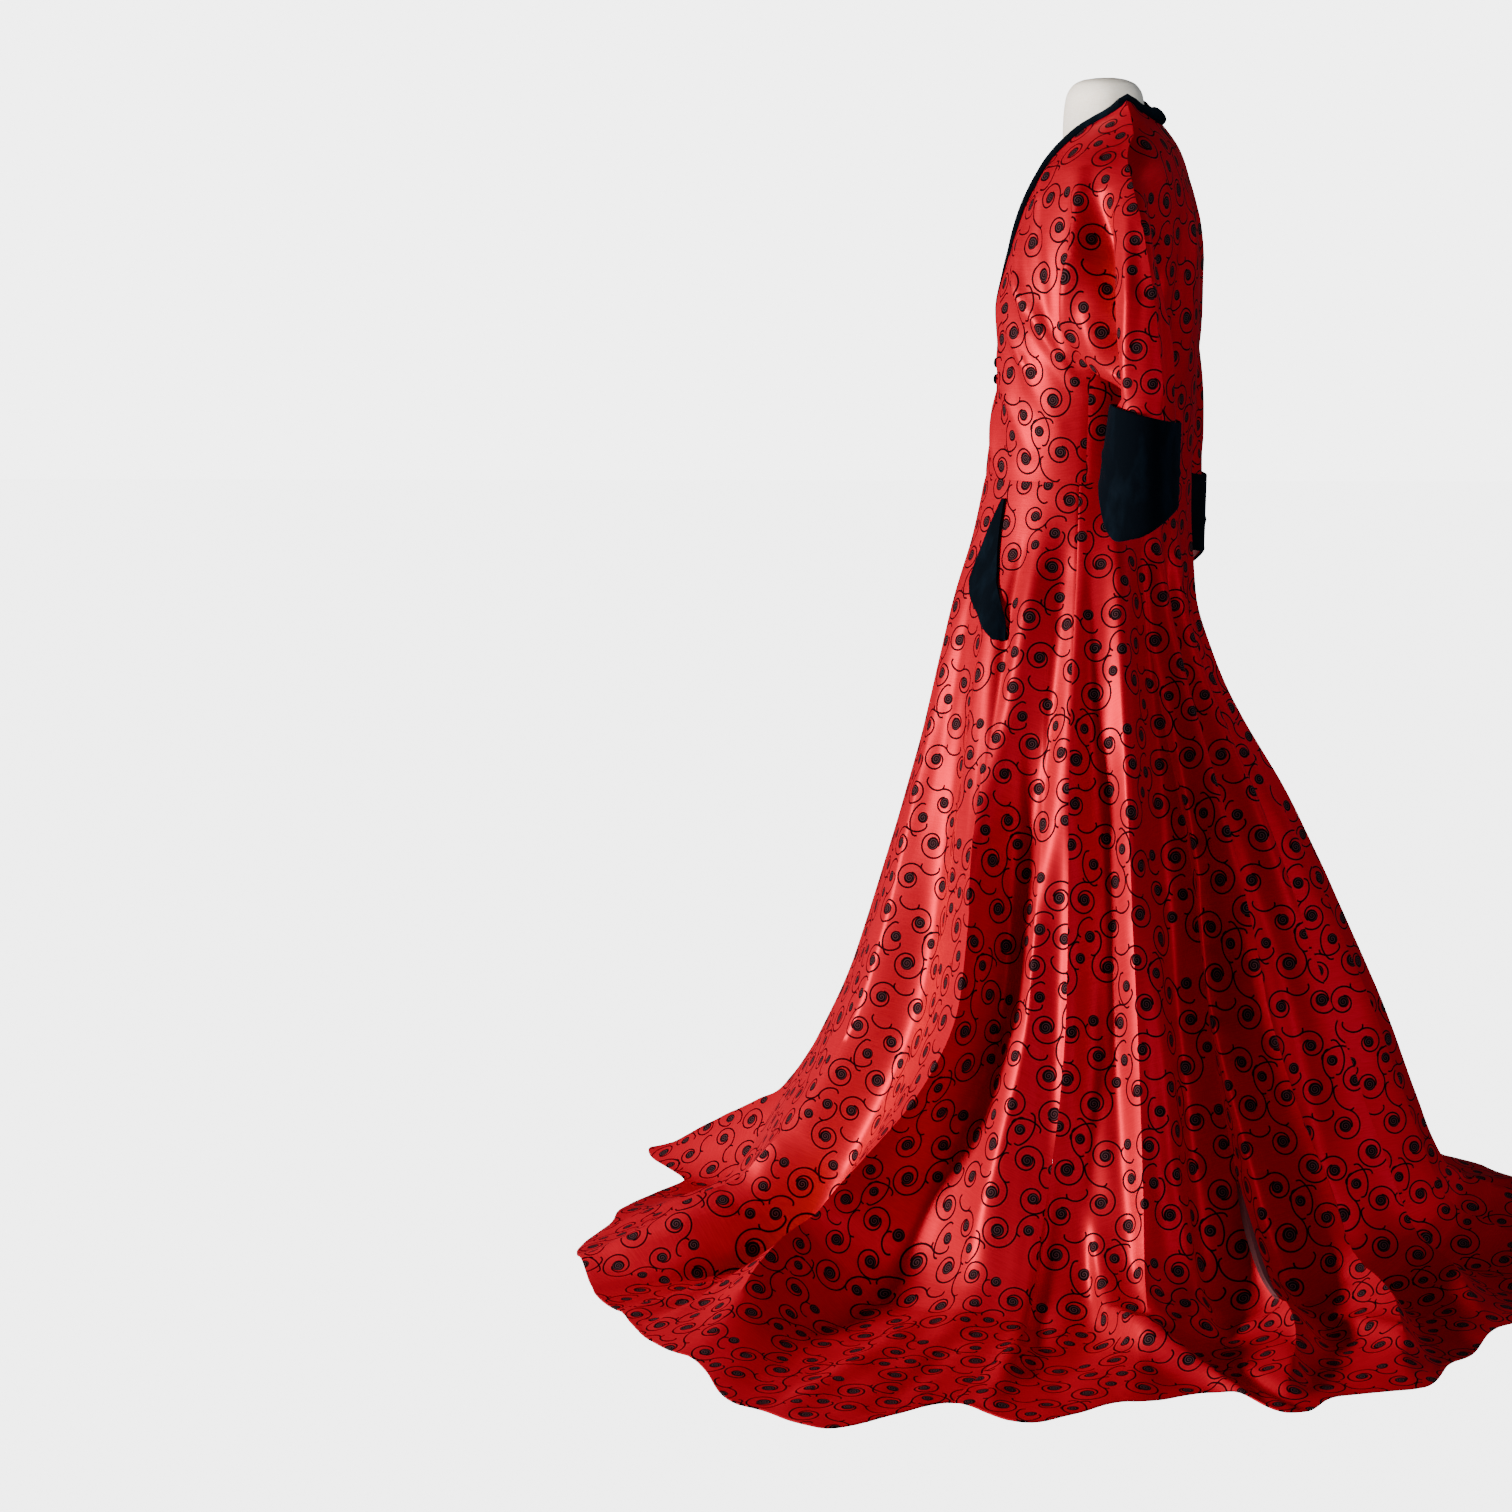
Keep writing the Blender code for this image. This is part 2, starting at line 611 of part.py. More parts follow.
def build_skirt(look):
    grid = skirt_points()
    count = grid.shape[1]
    sheet = Sheet()
    step = STEPS_BETWEEN_LINES

    def gore(_, column):
        if column < SIDE_LEFT * step:
            return "skirt_front_left"
        if column < CENTRE_BACK * step:
            return "skirt_back_left"
        if column < SIDE_RIGHT * step:
            return "skirt_back_right"
        return "skirt_front_right"

    closed = np.concatenate([grid, grid[:, :1]], axis=1)
    known = {}
    first = len(sheet.points)
    # The last column is the first one again, so the ring closes.
    for row in range(len(grid)):
        known[row, count] = first + row * count
    index = sheet.add_grid(closed, gore, known)
    normals = sheet.normals()
    for column in range(count):
        top, low = index[0, column], index[len(grid) - 1, column]
        normals[top, 2] = 0.0
        normals[top] /= np.linalg.norm(normals[top])
        normals[low] = (0.0, 0.0, 1.0)
    waist = {index[0, column] for column in range(count)}
    for label in ("skirt_front_left", "skirt_back_left", "skirt_back_right", "skirt_front_right"):
        points, faces = piece_solid(sheet, normals, label, WALL, SEAM_GAP, waist)
        points[:, 2] = np.maximum(points[:, 2], 0.0)
        new_object(label, points, faces, look)
    return grid


def mirrored(grid):
    return grid * np.array([-1.0, 1.0, 1.0])


def build_bodice(look):
    """Fronts and back with their sleeves. Returns the neckline's points and normals."""
    front, back = front_half(), back_half()
    sheet = Sheet()
    rows = len(front)
    # The fronts and the back meet at the shoulder line, at the armpit and down the side.
    front_index = sheet.add_grid(front, "front_left")
    known = {}
    for row in range(ARMPIT_ROW, rows):
        known[row, BACK_COLUMNS] = front_index[row, SHOULDER_COLUMNS]
    for column in range(SHOULDER_COLUMNS + 1):
        known[0, NECK_COLUMNS + column] = front_index[0, column]
    back_index = sheet.add_grid(back, "back", known, flip=True)
    right = {}
    for row in range(rows):
        right[row, 0] = back_index[row, 0]
    centre_row = len(UPPER_SHARES) + 1
    front_right = {}
    for row in range(centre_row, rows):
        front_right[row, 0] = front_index[row, 0]
    right_front_index = sheet.add_grid(mirrored(front), "front_right", front_right, flip=True)
    known = dict(right)
    for row in range(ARMPIT_ROW, rows):
        known[row, BACK_COLUMNS] = right_front_index[row, SHOULDER_COLUMNS]
    for column in range(SHOULDER_COLUMNS + 1):
        known[0, NECK_COLUMNS + column] = right_front_index[0, column]
    right_back_index = sheet.add_grid(mirrored(back), "back", known)
    sides = {
        "left": (front_index, back_index),
        "right": (right_front_index, right_back_index),
    }
    ends = {}
    for sign, name, drop, lean in SLEEVES:
        fronts, backs = sides[name]
        # Down the front of the armhole, from the shoulder tip to the armpit, then up its back.
        loop = [fronts[row, SHOULDER_COLUMNS] for row in range(ARMPIT_ROW + 1)]
        loop += [backs[row, BACK_COLUMNS] for row in range(ARMPIT_ROW - 1, 0, -1)]
        loop_points = np.array([sheet.points[i] for i in loop])
        if sign < 0:
            loop_points = mirrored(loop_points)
        rings = sleeve_rings(loop_points, drop, lean)
        if sign < 0:
            rings = mirrored(rings)
            loop_points = mirrored(loop_points)
        grid = np.concatenate([loop_points[None], rings])
        grid = np.concatenate([grid, grid[:, :1]], axis=1)
        count = len(loop)
        known = {(0, c): loop[c % count] for c in range(count + 1)}
        first = len(sheet.points)
        for row in range(1, len(grid)):
            known[row, count] = first + (row - 1) * count

        def half(_, column, name=name):
            return f"front_{name}" if column < ARMPIT_ROW else "back"

        index = sheet.add_grid(grid, half, known, flip=sign > 0)
        ends[name] = [index[len(grid) - 1, c] for c in range(count)]
    normals = sheet.normals()
    waist = set()
    for table, columns in (
        (front_index, SHOULDER_COLUMNS),
        (back_index, BACK_COLUMNS),
        (right_front_index, SHOULDER_COLUMNS),
        (right_back_index, BACK_COLUMNS),
    ):
        for column in range(columns + 1):
            low = table[rows - 1, column]
            waist.add(low)
            normals[low, 2] = 0.0
            normals[low] /= np.linalg.norm(normals[low])
    for label in ("front_left", "front_right", "back"):
        points, faces = piece_solid(sheet, normals, label, WALL, SEAM_GAP, waist)
        new_object(label, points, faces, look)
    # Neckline from the left V end over the nape to the right V end.
    line = [front_index[row, 0] for row in range(centre_row, 0, -1)]
    line += [back_index[0, column] for column in range(NECK_COLUMNS, -1, -1)]
    line += [right_back_index[0, column] for column in range(1, NECK_COLUMNS + 1)]
    line += [right_front_index[row, 0] for row in range(1, centre_row + 1)]
    points = np.array(sheet.points)
    return points[line], normals[line]


def build_cuffs(look):
    """Turn-back cuffs: a velvet wall round the end of each sleeve, open at both ends."""
    sides = 2 * ARMPIT_ROW
    turns = [OVERARM_TURN + 360.0 * i / sides for i in range(sides)]
    for sign, name, drop, lean in SLEEVES:
        grid = []
        for share in CUFF_SHARES:
            grow = LIE_GAP + VELVET + CUFF_TOP_FLARE * (1 - share)
            grid.append([cuff_point(turn, share, drop, lean, grow) for turn in turns])
        grid = np.array(grid)
        if sign < 0:
            grid = mirrored(grid)
        sheet = Sheet()
        closed = np.concatenate([grid, grid[:, :1]], axis=1)
        known = {(row, sides): row * sides for row in range(len(grid))}
        label = f"cuff_{name}"
        sheet.add_grid(closed, label, known, flip=sign < 0)
        points, faces = piece_solid(sheet, sheet.normals(), label, VELVET, 0.0)
        new_object(label, points, faces, look)


def build_neck_band(neckline, normals, look):
    """Velvet band along the neckline, lying on the cloth, thick and raised at the nape."""
    points = neckline.copy()
    points[0] += BAND_END_TRIM * (neckline[1] - neckline[0])
    points[-1] += BAND_END_TRIM * (neckline[-2] - neckline[-1])
    middle = len(points) // 2
    along = np.linalg.norm(np.diff(points, axis=0), axis=1)
    place = np.concatenate([[0.0], np.cumsum(along)])
    nape = np.exp(-(((place - place[middle]) / NAPE_SPREAD) ** 2))
    tangents = np.gradient(points, axis=0)
    tangents /= np.linalg.norm(tangents, axis=1)[:, None]
    rings = []
    for point, normal, tangent, share in zip(points, normals, tangents, nape):
        inward = np.cross(tangent, normal)
        inward /= np.linalg.norm(inward)
        wide = BAND_WIDTH + (NAPE_WIDTH - BAND_WIDTH) * share
        thick = BAND_THICK + (NAPE_THICK - BAND_THICK) * share
        rise = BAND_RISE + (NAPE_RISE - BAND_RISE) * share
        ring = []
        for across, out in BAND_SECTION:
            side = across * (wide if across > 0 else rise)
            ring.append(point + inward * side + normal * (BAND_LIFT + out * thick))
        rings.append(ring)
    count = len(rings[0])
    flat = [p for ring in rings for p in ring]
    faces = []
    for row in range(len(rings) - 1):
        for i in range(count):
            j = (i + 1) % count
            a, b = row * count, (row + 1) * count
            faces.append([a + i, a + j, b + j, b + i])
    faces.append(list(range(count))[::-1])
    faces.append([(len(rings) - 1) * count + i for i in range(count)])
    obj = new_object("neck_band", flat, faces, look)
    face_outward(obj)


def face_outward(obj):
    shaped = bmesh.new()
    shaped.from_mesh(obj.data)
    bmesh.ops.recalc_face_normals(shaped, faces=shaped.faces)
    shaped.to_mesh(obj.data)
    shaped.free()


def build_buttons(look):
    """Small covered buttons, one above the other on the edge of the right front."""
    for name, z in BUTTON_Z.items():
        turn = direction_of(BUTTON_X, z)
        at = ring_point(turn, z)
        above = ring_point(turn, z + BUTTON_RADIUS)
        slope = math.atan2(above[1] - at[1], BUTTON_RADIUS)
        bpy.ops.mesh.primitive_uv_sphere_add(
            segments=BUTTON_SIDES, ring_count=BUTTON_ROUNDS, radius=1.0
        )
        button = bpy.context.active_object
        button.name = name
        button.data.name = name
        button.scale = (BUTTON_RADIUS, BUTTON_RADIUS, BUTTON_HALF_THICK)
        button.rotation_euler = (math.pi / 2 - slope, 0.0, 0.0)
        out = BUTTON_HALF_THICK + SEAM_GAP
        button.location = at + out * np.array([0.0, -math.cos(slope), -math.sin(slope)])
        button.data.shade_smooth()
        button.data.materials.append(look)
        move_to_gown(button)


def move_to_gown(obj):
    for collection in list(obj.users_collection):
        collection.objects.unlink(obj)
    gown.objects.link(obj)


def skirt_point(grid, degrees, z):
    """Point of the skirt's outer face in a direction at a height above the knee."""
    heights = grid[:, 0, 2]
    row = int(np.argmax(heights < z)) - 1
    share = (heights[row] - z) / (heights[row] - heights[row + 1])
    ring = grid[row] + (grid[row + 1] - grid[row]) * share
    turns = np.degrees(np.arctan2(ring[:, 0], -ring[:, 1])) % 360.0
    order = np.argsort(turns)
    radius = np.hypot(ring[:, 0], ring[:, 1])
    reach = np.interp(degrees % 360.0, turns[order], radius[order], period=360.0)
    turn = math.radians(degrees)
    return np.array([reach * math.sin(turn), -reach * math.cos(turn), z])


def build_pocket_flaps(skirt, look):
    """Velvet flaps on the front hips, from the skirt's points moved out."""
    for sign, name in ((1.0, "pocket_flap_left"), (-1.0, "pocket_flap_right")):
        grid = []
        widest = max(back - front for _, front, back in FLAP_ROWS)
        for z, front_edge, back_edge in FLAP_ROWS:
            row = []
            for column in range(FLAP_COLUMNS + 1):
                share = column / FLAP_COLUMNS
                degrees = sign * (front_edge + (back_edge - front_edge) * share)
                point = skirt_point(skirt, degrees, z)
                outward = np.array([point[0], point[1], 0.0])
                outward /= np.linalg.norm(outward)
                lift = FLAP_STAND * (1 - share) * (back_edge - front_edge) / widest
                row.append(point + outward * (VELVET + 3 * LIE_GAP + lift))
            grid.append(row)
        sheet = Sheet()
        sheet.add_grid(grid, name, flip=sign < 0)
        points, faces = piece_solid(sheet, sheet.normals(), name, VELVET, 0.0)
        new_object(name, points, faces, look)


def loft(name, rings, look):
    """Closed body through rings of points, with its two ends filled."""
    count = len(rings[0])
    flat = [p for ring in rings for p in ring]
    faces = []
    for row in range(len(rings) - 1):
        for i in range(count):
            j = (i + 1) % count
            a, b = row * count, (row + 1) * count
            faces.append([a + i, a + j, b + j, b + i])
    faces.append(list(range(count))[::-1])
    faces.append([(len(rings) - 1) * count + i for i in range(count)])
    obj = new_object(name, flat, faces, look)
    face_outward(obj)
    return obj


def form_ring(half_width, side_y, front, back, z, sides):
    ring = []
    for i in range(sides):
        turn = 2 * math.pi * i / sides
        sine, cosine = math.sin(turn), math.cos(turn)
        ahead = (side_y + front) if cosine > 0 else (back - side_y)
        ring.append((half_width * sine, side_y - ahead * cosine, z))
    return ring


def inset_ring(z, clear):
    """Ring of the torso inside the bodice, a wall and a clearance in from its outer face."""
    step = 0.003
    above, below = smooth_rows(BODICE_LEVELS, z + step), smooth_rows(BODICE_LEVELS, z - step)
    slope = (above - below) / (2 * step)
    half_width, side_y, front, back = smooth_rows(BODICE_LEVELS, z)
    stretch = np.sqrt(1 + slope**2) * (WALL + clear)
    sizes = half_width - stretch[0], side_y, front - stretch[2], back - stretch[3]
    return form_ring(*sizes, z, FORM_SIDES)


def build_form(look):
    """Padded torso that the cloth rests on, with its neck block, as one body."""
    rings = [form_ring(*row[1:], row[0], FORM_SIDES) for row in FORM_LEVELS]
    rings += [inset_ring(z, FORM_CLEAR) for z in FORM_HEIGHTS]
    rings += [inset_ring(z, SHOULDER_CLEAR) for z in SHOULDER_HEIGHTS]
    torso = loft("dress_form", rings, look)
    necks = [form_ring(*row[1:], row[0], NECK_SIDES) for row in NECK_LEVELS]
    neck = loft("neck_block_shape", necks, look)
    gown.objects.unlink(neck)
    cutters.objects.link(neck)
    neck.hide_render = True
    neck.display_type = "WIRE"
    joined = torso.modifiers.new("neck block", "BOOLEAN")
    joined.operation = "UNION"
    joined.solver = "EXACT"
    joined.object = neck


def build_stand(steel, iron):
    """Round pole under the torso and the flat disc that it stands on."""
    form_bottom = FORM_LEVELS[0][0]
    bottom, top = BASE_THICK + SEAM_GAP, form_bottom - SEAM_GAP
    bpy.ops.mesh.primitive_cylinder_add(
        vertices=POLE_SIDES,
        radius=POLE_RADIUS,
        depth=top - bottom,
        location=(0, 0, (top + bottom) / 2),
    )
    pole = bpy.context.active_object
    pole.name = "stand_pole"
    pole.data.materials.append(steel)
    pole.data.shade_smooth()
    pole.data.set_sharp_from_angle(angle=math.radians(SHARP_DEGREES))
    move_to_gown(pole)
    bpy.ops.mesh.primitive_cylinder_add(
        vertices=BASE_SIDES,
        radius=BASE_RADIUS,
        depth=BASE_THICK,
        location=(0, 0, BASE_THICK / 2),
    )
    base = bpy.context.active_object
    base.name = "stand_base"
    base.data.materials.append(iron)
    bevel = base.modifiers.new("edge", "BEVEL")
    bevel.width = BASE_BEVEL
    bevel.segments = 2
    bevel.limit_method = "ANGLE"
    move_to_gown(base)


def main():
    satin = material("red_satin", RED, 0.34)
    velvet = material("black_velvet", VELVET_BLACK, 0.9)
    linen = material("form_linen", LINEN, 0.85)
    steel = material("stand_steel", STEEL, 0.35, 1.0)
    iron = material("base_iron", IRON, 0.6)
    skirt = build_skirt(satin)
    neckline, normals = build_bodice(satin)
    build_cuffs(velvet)
    build_neck_band(neckline, normals, velvet)
    build_buttons(velvet)
    build_pocket_flaps(skirt, velvet)
    build_form(linen)
    build_stand(steel, iron)


clear_scene()
gown = bpy.data.collections.new("hostess_gown")
cutters = bpy.data.collections.new("cutters")
bpy.context.scene.collection.children.link(gown)
bpy.context.scene.collection.children.link(cutters)
main()
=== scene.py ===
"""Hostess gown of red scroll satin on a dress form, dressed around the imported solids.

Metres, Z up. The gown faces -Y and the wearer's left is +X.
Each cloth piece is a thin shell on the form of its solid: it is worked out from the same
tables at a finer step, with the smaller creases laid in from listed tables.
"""

import math

import bmesh
import bpy
import numpy as np
from mathutils import Matrix, Vector, noise


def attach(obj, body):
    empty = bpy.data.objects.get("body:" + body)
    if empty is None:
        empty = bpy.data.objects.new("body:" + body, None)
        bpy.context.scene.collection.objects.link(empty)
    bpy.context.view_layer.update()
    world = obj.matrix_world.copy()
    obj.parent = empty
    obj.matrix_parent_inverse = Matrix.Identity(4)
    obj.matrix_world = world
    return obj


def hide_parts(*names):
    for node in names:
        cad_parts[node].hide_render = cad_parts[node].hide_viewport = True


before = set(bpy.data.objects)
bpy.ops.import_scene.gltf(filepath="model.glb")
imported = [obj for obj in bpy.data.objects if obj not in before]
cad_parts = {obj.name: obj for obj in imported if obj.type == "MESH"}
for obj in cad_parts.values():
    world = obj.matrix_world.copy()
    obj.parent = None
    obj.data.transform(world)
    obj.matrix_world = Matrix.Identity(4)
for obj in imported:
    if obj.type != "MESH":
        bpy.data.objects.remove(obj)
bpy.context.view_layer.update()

# Cloth and seams: the wall of the satin and of the velvet, the gap along a seam, the gap
# under a piece that lies on another, and how far a seam sinks in
WALL = 0.002
VELVET = 0.0028
SEAM_GAP = 0.00005
LIE_GAP = 0.0004
SEAM_SINK = 0.0006

# Main heights above the floor
WAIST_Z = 0.892
SHOULDER_TIP_Z = 1.235
NECK_POINT_Z = 1.312
NAPE_Z = 1.297
CHEST_Z = 1.13
ARMPIT_Z = 1.018
V_END_Z = 1.04
NECK_HALF = 0.058

# Skirt fold lines, one row for each ridge or valley, running round from the front.
# waist, knee, floor, hem: direction in degrees from the front towards the wearer's left
FOLD_LINES = [
    # name, waist, knee, floor, hem, depth, roll, reach
    ("centre_front", 0.0, -2.0, -6.0, -8.0, -0.006, 0.000, 0.530),
    ("front_sweep", 16.0, 17.0, 13.0, 11.0, 0.004, 0.040, 0.575),
    ("front_roll", 30.0, 38.0, 31.0, 28.0, 0.018, 0.075, 0.632),
    ("front_valley", 44.0, 52.0, 42.0, 42.0, -0.032, 0.000, 0.650),
    ("big_ridge", 62.0, 68.0, 54.0, 60.0, 0.040, 0.085, 0.705),
    ("big_valley", 72.0, 77.0, 64.0, 70.0, -0.036, 0.000, 0.772),
    ("panel_left", 80.0, 84.0, 78.0, 77.0, 0.000, 0.010, 0.795),
    ("side_seam_left", 90.0, 90.5, 88.0, 85.0, 0.012, 0.010, 0.680),
    ("side_crease", 98.0, 97.5, 96.0, 91.5, -0.018, 0.000, 0.722),
    ("side_ridge", 105.0, 104.0, 104.0, 100.0, 0.016, 0.030, 0.662),
    ("side_valley", 114.0, 115.0, 115.5, 107.5, -0.022, 0.000, 0.630),
    ("hip_ridge", 120.0, 121.0, 122.5, 113.0, 0.018, 0.035, 0.712),
    ("deep_valley", 126.0, 126.0, 130.0, 119.0, -0.034, 0.000, 0.670),
    ("bright_ridge", 132.0, 131.0, 137.0, 125.5, 0.028, 0.045, 0.690),
    ("rear_valley", 141.0, 139.0, 144.0, 134.0, -0.022, 0.000, 0.630),
    ("rear_ridge", 150.0, 149.0, 153.0, 144.0, 0.024, 0.040, 0.590),
    ("back_valley_left", 161.0, 160.0, 162.0, 154.0, -0.020, 0.000, 0.615),
    ("back_ridge_left", 170.0, 170.0, 171.0, 166.0, 0.024, 0.040, 0.640),
    ("centre_back", 180.0, 181.0, 181.0, 179.0, -0.018, 0.000, 0.600),
    ("back_ridge_right", 191.0, 192.0, 192.0, 191.0, 0.022, 0.040, 0.610),
    ("back_valley_right", 203.0, 203.0, 203.0, 202.0, -0.022, 0.000, 0.565),
    ("far_ridge_rear", 214.0, 214.0, 214.0, 213.0, 0.020, 0.035, 0.540),
    ("far_valley_rear", 226.0, 226.0, 226.0, 225.0, -0.022, 0.000, 0.530),
    ("far_ridge_back", 238.0, 238.0, 238.0, 238.0, 0.026, 0.045, 0.610),
    ("far_valley_back", 249.0, 249.0, 249.0, 249.0, -0.024, 0.000, 0.655),
    ("far_ridge_side", 259.0, 259.0, 260.0, 260.0, 0.022, 0.030, 0.700),
    ("side_seam_right", 270.0, 270.0, 271.0, 271.0, -0.018, 0.000, 0.685),
    ("far_ridge_hip", 283.0, 283.0, 283.0, 283.0, 0.026, 0.045, 0.720),
    ("far_valley_hip", 296.0, 296.0, 295.0, 295.0, -0.028, 0.000, 0.670),
    ("far_big_ridge", 309.0, 308.0, 308.0, 309.0, 0.032, 0.060, 0.690),
    ("far_front_valley", 326.0, 324.0, 323.0, 325.0, -0.024, 0.000, 0.585),
    ("far_front_roll", 343.0, 343.0, 342.0, 343.0, 0.016, 0.085, 0.622),
]
LINE_NAMES = [line[0] for line in FOLD_LINES]
SIDE_LEFT = LINE_NAMES.index("side_seam_left")
CENTRE_BACK = LINE_NAMES.index("centre_back")
SIDE_RIGHT = LINE_NAMES.index("side_seam_right")
# Heights where the fold lines have their directions at the knee and on the floor
KNEE_Z = 0.34
TURNED_Z = 0.04

# Mean skirt, and the share of each line's depth and roll that has come in at each height
SKIRT_LEVELS = [
    # z, front, side, back, fold, roll
    (WAIST_Z, 0.1260, 0.1370, 0.1120, 0.00, 0.00),
    (0.820, 0.1410, 0.1580, 0.1090, 0.04, 0.00),
    (0.755, 0.1600, 0.1860, 0.1110, 0.12, 0.00),
    (0.680, 0.1790, 0.2120, 0.1280, 0.26, 0.00),
    (0.600, 0.1980, 0.2360, 0.1630, 0.44, 0.00),
    (0.520, 0.2200, 0.2590, 0.2060, 0.62, 0.00),
    (0.440, 0.2440, 0.2820, 0.2440, 0.78, 0.00),
    (0.360, 0.2680, 0.3040, 0.2790, 0.90, 0.04),
    (0.280, 0.2980, 0.3260, 0.3120, 0.97, 0.10),
    (0.200, 0.3360, 0.3480, 0.3400, 1.00, 0.22),
    (0.130, 0.3760, 0.3700, 0.3630, 1.00, 0.42),
    (0.070, 0.4060, 0.3920, 0.3830, 0.94, 0.66),
    (0.028, 0.4300, 0.4200, 0.4050, 0.80, 0.88),
    (0.008, 0.4560, 0.4500, 0.4280, 0.62, 1.00),
]
# Cloth on the floor: share of the way from the last level to the hem, and roll left there
FLOOR_ROWS = [
    # share, roll
    (0.00, 1.00),
    (0.22, 0.86),
    (0.45, 0.60),
    (0.68, 0.36),
    (0.87, 0.20),
    (1.00, 0.12),
]
# How far a ridge leans over the valley that follows it, at its most
RIDGE_LEAN = {
    "front_roll": 0.016,
    "big_ridge": 0.026,
    "side_seam_left": 0.006,
    "side_ridge": 0.008,
    "bright_ridge": 0.005,
    "rear_ridge": 0.010,
    "back_ridge_left": -0.008,
    "back_ridge_right": 0.008,
    "far_ridge_rear": -0.010,
    "far_ridge_back": 0.010,
    "far_ridge_side": -0.008,
    "far_ridge_hip": 0.010,
    "far_big_ridge": -0.018,
    "far_front_roll": -0.010,
}
# How much of a ridge's shape comes to an edge
CREST = 0.60
# How many steps the fine skirt takes between two fold lines, two levels and two floor rows
LINE_STEPS = 14
LEVEL_STEPS = 7
FLOOR_STEPS = 7
FLOOR_SPAN = 0.30
# How far down the cloth the creases begin to stand up from the floor, and over what length
FLOOR_STARTS = 0.74
FLOOR_TURN = 0.12
# Length below the waist seam over which the creases grow
WAIST_SETTLE = 0.10
# A crease fades in and out along its length as this power of a half sine
CREASE_FADE = 0.6
# Small hollows and swells of the cloth: their size across and along, height and start
SKIRT_WAVER = ((0.045, 0.16), 0.0022, 3.0)
BODICE_WAVER = ((0.035, 0.080), 0.0012, 11.0)

